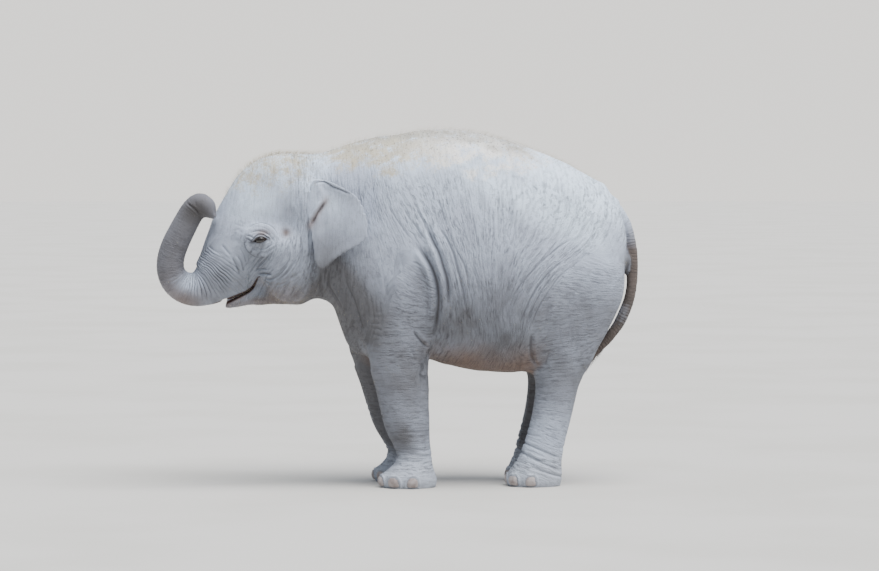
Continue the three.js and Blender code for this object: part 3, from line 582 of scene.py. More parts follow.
LEG_CREASES = {
    End.FRONT: (
        LegCrease(242, 2, 60, 175), LegCrease(222, -4, 70, 178, 2), LegCrease(166, 3, 20, 178, 3.2),
        LegCrease(150, 8, -40, 120, 2.6), LegCrease(128, 10, -150, 60, 3.2, 6, 0.5),
        LegCrease(113, 14, -120, 100, 2.4), LegCrease(138, 4, 80, 200, 2.4),
        LegCrease(300, 4, -60, 60, 1.8), LegCrease(330, 2, -80, 20, 1.8), LegCrease(192, 4, -160, -40, 2.4),
    ),
    End.HIND: (
        LegCrease(152, 34, -60, 165, 4.5, 6, 0.65), LegCrease(106, 40, -70, 178, 5, 6.5, 0.7),
        LegCrease(74, 34, 60, 190, 4, 6, 0.6), LegCrease(114, 18, 60, 150, 3, 5, 0.5),
        LegCrease(212, 14, -40, 90, 2.2), LegCrease(86, 22, -50, 60, 2.0),
        LegCrease(130, 20, -170, -50, 3), LegCrease(96, 20, -178, -60, 3.4),
        LegCrease(176, 10, 110, 240, 2.4),
        LegCrease(250, 6, -80, 60, 1.6), LegCrease(395, 4, -120, 20, 2.6), LegCrease(420, 2, -100, 10, 2.2),
    ),
}
EAR_CREASES = (
    Crease(((-391, 1300), (-363, 1317), (-344, 1319), (-322, 1308), (-303, 1296), (-271, 1283),
            (-243, 1270), (-216, 1258)), 6, 5.5, 1.0, 0.6, 0.8),
    Crease(((-330, 1236), (-350, 1207), (-371, 1176), (-387, 1148), (-398, 1128)), 9, 7.5, 1.0, 0.5, 0.8),
    Crease(((-398, 1128), (-403, 1090), (-401, 1040), (-394, 990), (-378, 950)), 2, 5, 0.75, 0.4),
)


class Folding:
    """Works creases into a surface: how deep they press in, and how dark they lie, a painted shade in each
    groove.
    """

    def __init__(self, surface: Surface, tree: BVHTree) -> None:
        """Starts with no crease.

        Args:
            surface: The surface that is creased.
            tree: Its faces, for finding where a drawn line lies on it.
        """
        self.surface = surface
        self.tree = tree
        self.height = np.zeros(len(surface.points))
        self.dark = np.zeros(len(surface.points))

    def lay(self, path: Array, crease: Crease) -> None:
        """Adds one crease along a path on the surface."""
        reach = 4.0 * crease.width * MM
        points = self.surface.points
        near = np.all((points > path.min(0) - reach) & (points < path.max(0) + reach), axis=1)
        rows = np.flatnonzero(near)
        if len(rows) == 0:
            return
        found = nearest_on(path, points[rows])
        width = crease.width * MM
        ends = soft_step(found.share, 0, 0.22) * soft_step(found.share, 1, 0.78)
        across = np.cross(self.surface.normals[rows], found.heading)
        headward = np.sign((across @ HEADWARD).mean())
        aside = headward * np.clip((found.offset * across).sum(1) / width, -1, 1)
        groove = bell(found.distance, width)
        roll = crease.roll * bell(found.distance - 1.9 * width, width) * (1 + crease.lean * aside)
        self.height[rows] += crease.depth * MM * ends * (roll - groove)
        shade = crease.dark * ends * bell(found.distance, 0.62 * width)
        self.dark[rows] = np.maximum(self.dark[rows], shade)

    def lay_on_side(self, crease: Crease, side: Side, lead: float = 0.0) -> None:
        """Adds a crease where its line falls on one side of the animal.

        Args:
            crease: The crease.
            side: The side that it is drawn on.
            lead: How far it is moved along the body, for a leg that stands further forward.
        """
        hits = []
        for x, z in smooth_line(crease.knots(), CREASE_STEP):
            spot = self.tree.ray_cast(Vector((x + lead, side.value, z)), Vector((0, -side.value, 0)))[0]
            if spot is not None and (not hits or (spot - hits[-1]).length < CREASE_JUMP):
                hits.append(spot)
        if len(hits) > 2:
            self.lay(np.array(hits), crease)

    def lay_round(self, crease: LegCrease, axis: tuple[float, float], side: Side) -> None:
        """Adds a crease round a leg whose axis passes through a place (x, y)."""
        hits = []
        for angle in np.radians(np.arange(crease.start, crease.stop, TURN_STEP)):
            aim = Vector((-math.cos(angle), math.sin(angle) * side.value, 0))
            z = (crease.z + crease.tilt * math.cos(angle)) * MM
            spot = self.tree.ray_cast(Vector((*axis, z)), aim)[0]
            if spot is not None:
                hits.append(spot)
        if len(hits) > 2:
            self.lay(np.array(hits), Crease((), crease.depth, crease.width, crease.dark))


# ------------------------------------------------------------------------------ bent forms


@dataclass(frozen=True)
class BentForm:
    """A bent, tapering form, given by knots of its middle line as (x, y, z, half-thickness) in mm."""

    knots: tuple[Knot, ...]

    def line(self) -> Array:
        """Gives points of the middle line, with the half-thickness as a fourth column, in metres."""
        return smooth_line(np.array(self.knots, float) * MM, 8 * MM)

    def read(self, points: Array) -> tuple[Nearest, Array]:
        """Finds how points lie to the form.

        Args:
            points: Places, one row each.

        Returns:
            Their nearest places on the middle line, and how many half-thicknesses off it they lie.
        """
        line = self.line()
        found = nearest_on(line[:, :3], points)
        radius = np.interp(found.share, np.linspace(0, 1, len(line)), line[:, 3])
        return found, found.distance / radius


TRUNK = BentForm((
    (-728, 0, 982, 122), (-769, 0, 926, 113), (-815, 0, 880, 94), (-869, 0, 853, 77),
    (-925, -2, 859, 69), (-967, -6, 890, 63.5), (-987, -12, 938, 59.5), (-985, -20, 990, 58.5),
    (-969, -31, 1042, 57.5), (-945, -43, 1094, 56), (-918, -55, 1146, 54), (-893, -66, 1189, 53),
    (-864, -77, 1216, 52.5), (-836, -86, 1211, 45),
))
TAIL = BentForm((
    (950, 0, 1192, 31), (996, 0, 1118, 28), (1020, 0, 1040, 23), (1028, 0, 965, 20.5),
    (1028, 0, 890, 19), (1019, 0, 820, 18), (999, 1, 755, 17.5), (966, 2, 688, 17),
    (920, 4, 625, 16), (866, 6, 570, 15), (815, 8, 515, 13.5), (776, 10, 458, 12), (752, 11, 405, 9),
))
MOUTH_LINE: Line = ((-612, 906), (-624, 882), (-638, 858), (-664, 838), (-716, 815), (-760, 793), (-800, 776))
TRUNK_HOLLOW = (-0.83, -0.03, 1.03)  # the middle of the trunk's curl, in metres
LEG_SPREAD = {End.FRONT: 150, End.HIND: 142}  # mm from the middle plane to a leg's middle
LEG_LEAN = {End.FRONT: ((0, 33), (60, 36), (128, 58), (187, 43), (240, 28), (300, 20), (500, -8)),
            End.HIND: ((0, 581), (60, 587), (126, 607), (213, 631), (300, 654), (431, 678), (500, 690))}
# How far ahead of the left legs the right ones stand, at heights from the floor, in mm.
FAR_LEG_LEAD = {End.FRONT: ((50, 0), (160, 18), (330, 32), (560, 50)),
                End.HIND: ((60, -30), (200, -6), (400, -4))}


def leg_axis(end: End, side: Side, z: float) -> tuple[float, float]:
    """Gives (x, y) of a leg's middle at a height, in metres."""
    x = float(np.interp(z / MM, *zip(*LEG_LEAN[end])))
    if side is Side.RIGHT:
        x -= float(np.interp(z / MM, *zip(*FAR_LEG_LEAD[end])))
    return x * MM, side.value * LEG_SPREAD[end] * MM


# ------------------------------------------------------------------------------ the run of fine folds


@dataclass(frozen=True)
class Grain:
    """A smooth field over the side of the animal, whose level lines the fine folds follow.

    Each guide is a level line in millimetres, with the field's value on it.
    """

    guides: tuple[tuple[float, Line], ...]

    def read(self, points: Array) -> Array:
        """Gives the field at points, in metres. It is a thin plate bent through the guides."""
        stations = np.linspace(0, 1, 6)
        knots = np.vstack([resampled(np.array(line, float), stations) for _, line in self.guides]) * MM
        values = np.repeat([value for value, _ in self.guides], len(stations)) * MM
        count = len(knots)
        plane = np.hstack([np.ones((count, 1)), knots])
        bend = self.kernel(np.linalg.norm(knots[:, None] - knots[None], axis=2)) + 1e-4 * np.eye(count)
        system = np.block([[bend, plane], [plane.T, np.zeros((3, 3))]])
        weights = np.linalg.solve(system, np.concatenate([values, np.zeros(3)]))
        places = points[:, [0, 2]]
        total = weights[count] + places @ weights[count + 1 :]
        for knot, weight in zip(knots, weights):
            total += weight * self.kernel(np.hypot(*(places - knot).T))
        return total

    @staticmethod
    def kernel(reach: Array) -> Array:
        """Gives a thin plate's bend about a point."""
        return reach * reach * np.log(reach + 1e-6)


SIDE_GRAIN = Grain((
    (-560, ((-540, 1330), (-560, 1200), (-560, 1100), (-590, 1000), (-645, 925))),
    (-470, ((-450, 1330), (-460, 1200), (-470, 1080), (-500, 980), (-560, 915))),
    (-400, ((-400, 1330), (-405, 1200), (-410, 1080), (-420, 980), (-470, 890))),
    (-330, ((-330, 1400), (-330, 1200), (-335, 1050), (-340, 900))),
    (-190, ((-190, 1460), (-185, 1200), (-170, 950), (-150, 720))),
    (-75, ((-130, 1480), (-110, 1250), (-50, 1080), (0, 960), (30, 830))),
    (20, ((-30, 1240), (41, 1063), (99, 983), (138, 881), (143, 758), (127, 632))),
    (62, ((49, 1240), (80, 1159), (120, 1068), (164, 957), (186, 829), (189, 700))),
    (140, ((100, 1500), (130, 1260), (183, 1069), (224, 952), (257, 802), (275, 640))),
    (240, ((220, 1520), (235, 1280), (270, 1060), (300, 900), (320, 760), (330, 620))),
    (350, ((350, 1510), (360, 1300), (365, 1100), (355, 900), (370, 740), (380, 600))),
    (440, ((520, 1480), (500, 1300), (480, 1150), (430, 950), (410, 800), (425, 620))),
    (550, ((700, 1400), (700, 1200), (650, 1090), (548, 980), (480, 880), (440, 740), (450, 600))),
    (650, ((850, 1260), (790, 1070), (696, 1000), (620, 930), (560, 850), (520, 760), (500, 640))),
    (705, ((880, 1100), (800, 1000), (696, 939), (614, 847), (565, 755), (540, 650))),
))
ARM_EDGE, THIGH_EDGE = 20 * MM, 700 * MM  # values of the field where the limbs' folds start
HIND_SLOPE = ((0.05, 0.35), (0.2, 0.45), (0.32, 0.1), (0.45, 0.0), (0.6, -0.22), (0.8, 0.0), (0.95, 0.25))


def girth(points: Array) -> Array:
    """Gives a height whose level lines run round the legs, slanting where the folds of skin slant."""
    x, _, z = points.T
    front = z + 0.7 * soft_step(z, 0.7, 0.98) * (x - 0.05)
    hind = z + np.interp(z, *zip(*HIND_SLOPE)) * (x - 0.62)
    return np.where(x < 0.35, front, hind)


# ------------------------------------------------------------------------------ the skin


@dataclass(frozen=True)
class LightShadeSpot:
    """A patch of painted light (above 0) or painted shade on the hide, round a place (x, z) in millimetres.
    """

    x: float
    z: float
    reach: float
    painted_light_tone: float

    def read(self, points: Array) -> Array:
        """Gives what the patch adds to the painted light and shade at points."""
        distance = np.hypot(points[:, 0] - self.x * MM, points[:, 2] - self.z * MM)
        return self.painted_light_tone * bell(distance, self.reach * MM)


# Patches of painted light and shade on the hide, each named by where it lies.
LIGHT_SHADE_SPOTS = (
    LightShadeSpot(-640, 1215, 100, 0.35),  # the forehead
    LightShadeSpot(-495, 1190, 55, -0.7),  # the temple
    LightShadeSpot(-580, 1105, 50, -0.45),  # the brow
    LightShadeSpot(-665, 995, 90, -0.35),  # before the eye
    LightShadeSpot(-790, 925, 80, -0.3),  # the trunk's root
    LightShadeSpot(-905, 880, 55, 0.5),  # the trunk's lowest bend
    LightShadeSpot(-916, 790, 55, -0.4),  # the same from below
    LightShadeSpot(-960, 1070, 110, -0.35),  # the trunk's rising part
    LightShadeSpot(-880, 1205, 85, -1.2),  # the trunk's tip
    LightShadeSpot(-480, 890, 110, -0.25),  # the cheek
    LightShadeSpot(-585, 805, 80, -0.35),  # the jaw
    LightShadeSpot(-300, 900, 110, -0.5),  # the neck under the ear
    LightShadeSpot(-230, 1290, 120, -0.6),  # the neck above the ear
    LightShadeSpot(-320, 1040, 100, -0.62),  # the ear's lower part
    LightShadeSpot(-300, 1210, 60, 0.6),  # the ear's upper part
    LightShadeSpot(-235, 750, 160, -0.75),  # the chest
    LightShadeSpot(-40, 480, 150, -0.12),  # the forearm
    LightShadeSpot(-5, 190, 80, -0.55),  # the front ankle
    LightShadeSpot(310, 760, 240, -0.33),  # the middle of the flank
    LightShadeSpot(320, 600, 120, 0.15),  # the flank's lower edge
    LightShadeSpot(715, 690, 130, -0.1),  # the thigh
    LightShadeSpot(610, 210, 140, 0.45),  # the hind leg's lower part
    LightShadeSpot(910, 1000, 120, 0.35),  # the rump
    LightShadeSpot(740, 1240, 200, 0.8),  # the hip
    LightShadeSpot(992, 975, 45, -0.75),  # the skin beside the tail
)
# Painted shade and light at heights from the floor, in metres: darkest about the belly's height and lighter
# on the back.
LIGHT_SHADE_BY_HEIGHT = ((0.0, 0.0), (0.1, 0.0), (0.22, -0.4), (0.45, -0.68), (0.75, -0.48), (0.95, -0.2),
                (1.1, 0.05), (1.3, 0.4))


@dataclass(frozen=True)
class EyeFrame:
    """Where an eye sits: a point of the skin, and axes towards the tail, up and outwards."""

    origin: Array
    back: Array
    up: Array
    out: Array

    def read(self, points: Array) -> tuple[Array, Array, Array]:
        """Gives the points' places along the three axes."""
        rel = points - self.origin
        return rel @ self.back, rel @ self.up, rel @ self.out


@dataclass(frozen=True)
class Eye:
    """An eye and its lids. The ball's middle lies under the skin by sunk."""

    place: tuple[float, float] = (-611 * MM, 1066 * MM)
    ball: float = 25 * MM
    sunk: float = 20.5 * MM
    lid: float = 2.4 * MM
    half_length: float = 30 * MM
    rise: float = 15.5 * MM
    fall: float = 10.5 * MM
    slant: float = 0.16
    reach: float = 72 * MM
    facing: float = 42 * MM  # how far the skin that tells the eye's facing reaches

    def frame(self, surface: Surface, tree: BVHTree, side: Side) -> EyeFrame:
        """Finds the eye's place and axes on a surface."""
        x, z = self.place
        start = Vector((x, side.value, z))
        origin = np.array(tree.ray_cast(start, Vector((0, -side.value, 0)))[0])
        near = np.linalg.norm(surface.points - origin, axis=1) < self.facing
        out = surface.normals[near].mean(0)
        out /= np.linalg.norm(out)
        back = np.array([math.cos(self.slant), 0, math.sin(self.slant)])
        back -= out * (back @ out)
        back /= np.linalg.norm(back)
        up = np.cross(back, out)
        return EyeFrame(origin, back, up * np.sign(up[2]), out)

    def opening(self, u: Array, v: Array) -> Array:
        """Tells how far inside the opening between the lids a place lies, below 0 outside it."""
        share = np.clip(np.abs(u) / self.half_length, 0, 1)
        top = self.rise * (1 - share**2.4)
        bottom = -self.fall * (1 - share**2.0)
        inside = np.minimum(top - v, v - bottom)
        beyond = np.hypot(np.maximum(np.abs(u) - self.half_length, 0), v)
        return np.where(np.abs(u) < self.half_length, inside, -beyond)

    def shape_lids(self, surface: Surface, axes: EyeFrame) -> Array:
        """Works the lids and the opening into the skin.

        Args:
            surface: The skin, fine enough round the eye.
            axes: Where the eye sits.

        Returns:
            How dark the lids are at each vertex: painted shade at the opening and in the lid crease, and
                partly darker skin and partly painted shade at the corners.
        """
        u, v, w = axes.read(surface.points)
        rows = np.flatnonzero((np.hypot(u, v) < self.reach) & (np.abs(w) < self.reach))
        rows = rows[surface.normals[rows] @ axes.out > 0.1]
        u, v, w = u[rows], v[rows], w[rows]
        cap = np.sqrt(np.maximum((self.ball + self.lid) ** 2 - u * u - v * v, 0)) - self.sunk
        blend = np.maximum(9 * MM - np.abs(w - cap), 0)
        raised = np.maximum(w, cap) + blend * blend / (36 * MM)
        gap = self.opening(u, v)
        above = v > 0
        raised += 1.2 * MM * bell(gap + 1.8 * MM, 2.2 * MM)
        raised -= np.where(above, 3.4, 1.1) * MM * bell(gap + 9 * MM, 2.6 * MM)
        raised += np.where(above, 3.0, 1.2) * MM * bell(gap + 15 * MM, 4.5 * MM)
        raised -= 14 * MM * soft_step(gap, 0, 2.2 * MM)
        surface.points[rows] += np.outer(raised - w, axes.out)
        surface.store()
        dark = np.zeros(len(surface.points))
        # Painted shade round the opening and in the crease above it; the corners are partly darker skin.
        rim = np.maximum(bell(gap, np.where(above, 6.5, 4.0) * MM), soft_step(gap, -2 * MM, 1 * MM))
        crease = np.where(above, 0.95, 0.4) * bell(gap + 9 * MM, 2.5 * MM)
        front = bell(np.hypot(0.55 * (u + self.half_length + 4 * MM), v + 2 * MM), 11 * MM)
        rear = 0.8 * bell(np.hypot(0.7 * (u - self.half_length - 4 * MM), v), 5 * MM)
        dark[rows] = np.maximum.reduce([rim, crease, front, rear])
        return dark


@dataclass
class Skin:
    """The skin over body, legs, head, trunk, ears and tail, in one surface."""

    voxel: float = 5.2 * MM
    swell: float = 0.8 * MM
    slit: float = 12 * MM
    tail_regain: float = 4.5 * MM  # what the rounding takes off the tail
    cleft: float = 15 * MM  # how far the skin beside the tail stands back
    ear_front: float = -0.40
    ear_widening: float = 0.045
    finger: tuple[float, float] = (-0.810, 1.186)
    finger_droop: tuple[float, float, float] = (13 * MM, 0.0, -23 * MM)
    lips_apart: tuple[float, float] = (1.3 * MM, 10 * MM)
    triangles: int = 190_000
    seed: int = 7
    eye: Eye = field(default_factory=Eye)
    eye_frames: dict[Side, EyeFrame] = field(default_factory=dict)

    def nodes(self) -> list[str]:
        """Names the CAD nodes that the skin stands for."""
        others = (*nail_nodes(), "eye_left", "eye_right", "tail_tuft")
        return [name for name in frame["nodes"] if name not in others]

    def build(self) -> bpy.types.Object:
        """Makes the skin and dresses it."""
        obj = self.closed_flesh()
        surface = Surface(obj)
        log.info("remeshed: %d vertices", len(surface.points))
        self.round_off(surface)
        log.info("rounded off")
        self.refine(obj, self.needs_detail, 2)
        self.refine(obj, self.needs_fine_detail, 3)
        surface = Surface(obj)
        log.info("refined: %d vertices", len(surface.points))
        self.model(surface)
        log.info("modelled")
        ratio = self.triangles / triangle_count(obj)
        apply_modifier(obj, "DECIMATE", decimate_type="COLLAPSE", ratio=ratio)
        dress(obj, HideFinish().material())
        settle(obj, "hide", *self.nodes())
        return obj

    def closed_flesh(self) -> bpy.types.Object:
        """Joins copies of the flesh nodes, and closes the gaps between them.

        Returns:
            An object whose mesh is one even grid of small faces.
        """
        copies = []
        for name in [*self.nodes(), "eye_left", "eye_right"]:
            copies.append(new_object(f"copy_{name}", frame["nodes"][name].data.copy()))
        deselect_all()
        for copy in copies:
            copy.select_set(True)
        bpy.context.view_layer.objects.active = copies[0]
        bpy.ops.object.join()
        obj = primitive("skin")
        weld()
        apply_modifier(obj, "DISPLACE", strength=self.swell, mid_level=0.0)
        apply_modifier(obj, "REMESH", mode="VOXEL", voxel_size=self.voxel)
        self.keep_outer(obj)
        return obj

    def keep_outer(self, obj: bpy.types.Object) -> None:
        """Deletes small surfaces that are sealed inside."""
        take(obj)
        points = Surface(obj).points
        chosen = np.zeros(len(points), bool)
        chosen[points[:, 0].argmin()] = True
        choose(obj, "vertices", chosen)
        bpy.ops.object.mode_set(mode="EDIT")
        bpy.ops.mesh.select_linked()
        bpy.ops.mesh.select_all(action="INVERT")
        bpy.ops.mesh.delete(type="VERT")
        bpy.ops.object.mode_set(mode="OBJECT")

    def refine(self, obj: bpy.types.Object, needs: Callable[[Array], Array], rounds: int) -> None:
        """Divides the faces where detail is needed, and smooths what was divided.

        Args:
            obj: The skin.
            needs: Tells which places need detail.
            rounds: How far the smoothing reaches.
        """
        take(obj)
        choose(obj, "polygons", needs(rows_of(obj.data.polygons, "center").astype(float)))
        bpy.ops.object.mode_set(mode="EDIT")
        bpy.ops.mesh.subdivide(number_cuts=1, smoothness=0)
        bpy.ops.object.mode_set(mode="OBJECT")
        surface = Surface(obj)
        weight = surface.blurred(needs(surface.points).astype(float), 2)
        surface.soften(weight, rounds)

    def needs_detail(self, places: Array) -> Array:
        """Chooses the face, the trunk and the feet."""
        x, y, z = places.T
        face = (x < -0.43) & (x > -0.76) & (np.abs(y) > 0.05) & (z < 1.17)
        feet = z < 0.075
        found, reach = TRUNK.read(places[x < TRUNK_PART])
        trunk = np.zeros(len(places), bool)
        trunk[x < TRUNK_PART] = (reach < 1.4) & (found.share > 0.02)
        return face | feet | trunk

    def needs_fine_detail(self, places: Array) -> Array:
        """Chooses the surroundings of the eyes."""
        x, z = self.eye.place
        near = np.hypot(places[:, 0] - x, places[:, 2] - z) < 46 * MM
        return near & (np.abs(places[:, 1]) > EYE_SIDE)

    def ear_mask(self, points: Array) -> Array:
        """Tells which points lie on an ear's leaf."""
        mask = np.zeros(len(points))
        for name in ("ear_left", "ear_right"):
            for row, _ in near_node(name, points, EAR_REACH, EAR_MARGIN):
                mask[row] = 1.0
        return mask

    def round_off(self, surface: Surface) -> None:
        """Takes the flats off the body, gently where the forms are small."""
        x, _, z = surface.points.T
        ear = surface.blurred(self.ear_mask(surface.points), 3)
        _, tail_reach = TAIL.read(surface.points[x > TAIL_PART])
        tail, beside = np.zeros(len(x)), np.zeros(len(x))
        tail[x > TAIL_PART] = soft_step(tail_reach, 2.2, 1.2)
        beside[x > TAIL_PART] = soft_step(tail_reach, 1.0, 1.35)
        solid = (1 - ear) * (1 - tail)
        broad = soft_step(x, -0.42, -0.2) * soft_step(z, 0.46, 0.6) * solid
        middle = soft_step(z, 0.05, 0.12) * solid
        surface.soften(np.maximum(0.9 * middle, 0.5 * (1 - ear)), 12)
        surface.soften(broad, 60)
        surface.soften(np.maximum(0.6 * (1 - solid), 0.8 * (1 - middle)), 4)
        surface.points[:, 0] -= self.cleft * beside * bell(z - 0.95, 0.09) * soft_step(x, 0.93, 0.98)
        surface.soften(bell(np.hypot(x - 0.975, z - 0.965), 0.045) * beside, 25)
        surface.push(self.tail_regain * tail)
        surface.points[:, 0] += self.ear_widening * ear * (surface.points[:, 0] - self.ear_front)
        x, _, z = surface.points.T
        finger = bell(np.hypot(x - self.finger[0], z - self.finger[1]), 0.028)
        tip = np.flatnonzero(finger > 0.01)
        finger[tip] *= soft_step(TRUNK.read(surface.points[tip])[1], 1.9, 1.3)
        surface.points += np.outer(finger, self.finger_droop)
        self.flatten_soles(surface)

    def flatten_soles(self, surface: Surface) -> None:
        """Sets the feet flat on the floor."""
        z = surface.points[:, 2]
        surface.points[:, 2] = np.where(z < 3 * MM, 0, np.maximum(z, 0))
        surface.store()

    def model(self, surface: Surface) -> None:
        """Works folds, lids, rings and nail beds into the skin, and keeps the masks of its finish."""
        surface.soften(self.eye_patch(surface), 40)
        self.purse_lips(surface)
        tree = surface.tree()
        for side in Side:
            self.eye_frames[side] = self.eye.frame(surface, tree, side)
        folding = self.crease_all(surface, tree)
        self.lay_grain(surface)
        height = folding.height + self.rings(surface) + self.looseness(surface)
        nail_height, nail_dark = self.nail_beds(surface)
        surface.push(height + nail_height)
        dark = np.maximum(folding.dark, nail_dark)
        for side in Side:
            dark = np.maximum(dark, self.eye.shape_lids(surface, self.eye_frames[side]))
        self.flatten_soles(surface)
        self.paint(surface, dark)

    def at_mouth(self, points: Array) -> tuple[Nearest, Array]:
        """Finds how points lie to the mouth line, and half the gap between the lips there."""
        line = smooth_line(np.array([(x, 0, z) for x, z in MOUTH_LINE]) * MM, 6 * MM)
        found = nearest_on(line, points * np.array([1, 0, 1]))
        return found, self.lips_apart[0] + (self.lips_apart[1] - self.lips_apart[0]) * found.share**1.3

    def purse_lips(self, surface: Surface) -> None:
        """Brings the lips together, from a thin line at the corner to a small gap at the front."""
        found, half_gap = self.at_mouth(surface.points)
        closed = self.slit - half_gap
        near = closed * soft_step(found.distance, 3.1 * self.slit, self.slit)
        near = np.minimum(near, closed / self.slit * found.distance)
        inside = near * (surface.points[:, 0] < -0.55) / np.maximum(found.distance, 1e-6)
        surface.points -= inside[:, None] * found.offset
        surface.store()

    def eye_patch(self, surface: Surface) -> Array:
        """Marks the skin round the eyes, fading out."""
        x, z = self.eye.place
        distance = np.hypot(surface.points[:, 0] - x, surface.points[:, 2] - z)
        return soft_step(distance, 56 * MM, 38 * MM) * (np.abs(surface.points[:, 1]) > EYE_SIDE)

    def crease_all(self, surface: Surface, tree: BVHTree) -> Folding:
        """Lays all creases on both sides."""
        folding = Folding(surface, tree)
        draw = np.random.default_rng(self.seed)
        singles = SHOULDER_CREASES + FLANK_CREASES + KNEE_CREASES + FACE_CREASES + EYE_CREASES
        singles += TRUNK_CREASES + EAR_CREASES + NECK_CREASES
        fans = SHOULDER_FANS + FLANK_FANS + FACE_FANS
        for side in Side:
            for crease in singles:
                folding.lay_on_side(crease, side)
            for fan in fans:
                for crease in fan.creases(draw):
                    folding.lay_on_side(crease, side)
            for end, creases in LEG_CREASES.items():
                for crease in creases:
                    folding.lay_round(crease, leg_axis(end, side, crease.z * MM), side)
        return folding

    def rings(self, surface: Surface) -> Array:
        """Works out the rings round the trunk and the tail.

        It marks which ring each vertex lies at, whole numbers on the grooves, and how strong they are.

        Returns:
            Their height at each vertex.
        """
        points = surface.points
        height = np.zeros(len(points))
        phase = np.zeros(len(points))
        ringed = np.zeros(len(points))
        for form, near, spacing, depth, seed in (
            (TRUNK, points[:, 0] < TRUNK_PART, 13 * MM, 4.2 * MM, 3),
            (TAIL, points[:, 0] > TAIL_PART, 13 * MM, 1.1 * MM, 4),
        ):
            rows = np.flatnonzero(near)
            found, reach = form.read(points[rows])
            drift = 4 * MM * ripple(points[rows], 0.12, seed) + 1.5 * MM * ripple(points[rows], 0.04, seed)
            places = np.cumsum(spacing * np.random.default_rng(seed).uniform(0.7, 1.3, 120))
            phase[rows] = np.interp(found.along + drift, places, np.arange(1, 121))
            strength = soft_step(reach, 1.5, 1.2) * (0.75 + 0.35 * ripple(points[rows], 0.09, seed + 5))
            if form is TRUNK:
                towards = np.array(TRUNK_HOLLOW) - (points[rows] - found.offset)
                towards /= np.linalg.norm(towards, axis=1)[:, None]
                inward = (found.offset * towards).sum(1) / np.maximum(found.distance, 1e-6)
                root = soft_step(found.share, 0.0, 0.04) * soft_step(found.share, 0.5, 0.3)
                strength = strength * 1.15 * (0.14 + 0.86 * root * soft_step(inward, -0.55, 0.2))
            else:
                strength = strength * soft_step(found.share, 0.03, 0.15)
            groove = 0.5 - np.abs(phase[rows] % 1 - 0.5)
            ringed[rows] = np.clip(strength, 0, 1)
            height[rows] -= depth * ringed[rows] * bell(groove * spacing, 2.4 * MM)
        surface.mark("ring", phase)
        surface.mark("ringed", ringed)
        return height

    def lay_grain(self, surface: Surface) -> None:
        """Marks the field that the fine folds follow, and how strong they are."""
        points = surface.points
        x, y, z = points.T
        flow = SIDE_GRAIN.read(points)
        arm = (flow < ARM_EDGE) & (x > -0.16) & (z < 0.5 + 0.5 * soft_step(x, -0.16, 0.0))
        thigh = (flow > THIGH_EDGE) & (z < 1.0) & (x > 0.45)
        limb = arm | thigh | (z < 0.47)
        across = np.where(limb, girth(points), flow)
        trunk = np.zeros(len(x), bool)
        for form, near in ((TRUNK, x < -0.66), (TAIL, x > TAIL_PART)):
            rows = np.flatnonzero(near)
            found, reach = form.read(points[rows])
            rows, along = rows[reach < 1.35], found.along[reach < 1.35]
            across[rows] = along
            trunk[rows] = True
        apart = surface.blurred((limb + 2.0 * trunk) * 1.0, 2)
        steady = 1 - soft_step(np.abs(apart - np.round(apart)), 0.02, 0.3)
        strength = 0.85 - 0.55 * soft_step(z, 1.27, 1.4) * soft_step(x, -0.4, -0.2)
        strength -= 0.45 * bell(np.hypot(x + 0.1, 0.6 * (z - 1.05)), 0.12)
        strength -= 0.6 * soft_step(x, -0.44, -0.52) * soft_step(z, 1.05, 1.12)
        strength -= 0.5 * soft_step(z, 0.08, 0.04) + 0.32 * soft_step(z, 0.6, 0.42) * soft_step(z, 0.08, 0.14)
        strength -= 0.2 * thigh * soft_step(z, 0.6, 0.7)
        strength *= 1 - bell(z - 0.5 - 0.5 * soft_step(x, -0.16, 0.0), 0.05) * (flow < ARM_EDGE) * (x > -0.2)
        strength *= 1 - bell(z - 1.0, 0.05) * (flow > THIGH_EDGE) * (x > 0.45)
        ear = surface.blurred(self.ear_mask(points), 2)
        surface.mark("ear", ear)
        strength *= (1 - 0.7 * ear) * steady * np.where(trunk, 0.5, 1.0)
        surface.mark("across", across)
        surface.mark("fold", np.clip(strength, 0, 1))

    def looseness(self, surface: Surface) -> Array:
        """Gives the slight swells of loose skin, and the fold between the thighs."""
        points = surface.points
        x, _, z = points.T
        upright = points * np.array([1.0, 1.0, 0.35])
        swell = 1.6 * MM * ripple(upright, 0.16, 21) + 1.1 * MM * ripple(upright, 0.07, 22)
        swell -= self.cleft * self.between_thighs(points)
        return swell * soft_step(x, -0.35, -0.15) * soft_step(z, 0.35, 0.6)

    def between_thighs(self, points: Array) -> Array:
        """Marks the fold behind, under the tail's root."""
        x, y, z = points.T
        beside = np.zeros(len(x))
        beside[x > TAIL_PART] = soft_step(TAIL.read(points[x > TAIL_PART])[1], 1.3, 1.9)
        fold = bell(y, 0.028) * soft_step(x, 0.72, 0.85)
        return fold * soft_step(z, 1.06, 0.92) * soft_step(z, 0.5, 0.6) * beside

    def nail_beds(self, surface: Surface) -> tuple[Array, Array]:
        """Raises the skin round the nails, and paints shade along their edges."""
        points = surface.points
        height = np.zeros(len(points))
        dark = np.zeros(len(points))
        for name in nail_nodes():
            for row, distance in near_node(name, points, NAIL_REACH, NAIL_MARGIN):
                if points[row, 2] < NAIL_ZONE:
                    roll = math.exp(-(((distance - 7 * MM) / (4.5 * MM)) ** 2))
                    height[row] = max(height[row], 4.0 * MM * roll)
                    dark[row] = max(dark[row], 0.5 * math.exp(-((distance / (2.4 * MM)) ** 2)))
        return height, dark

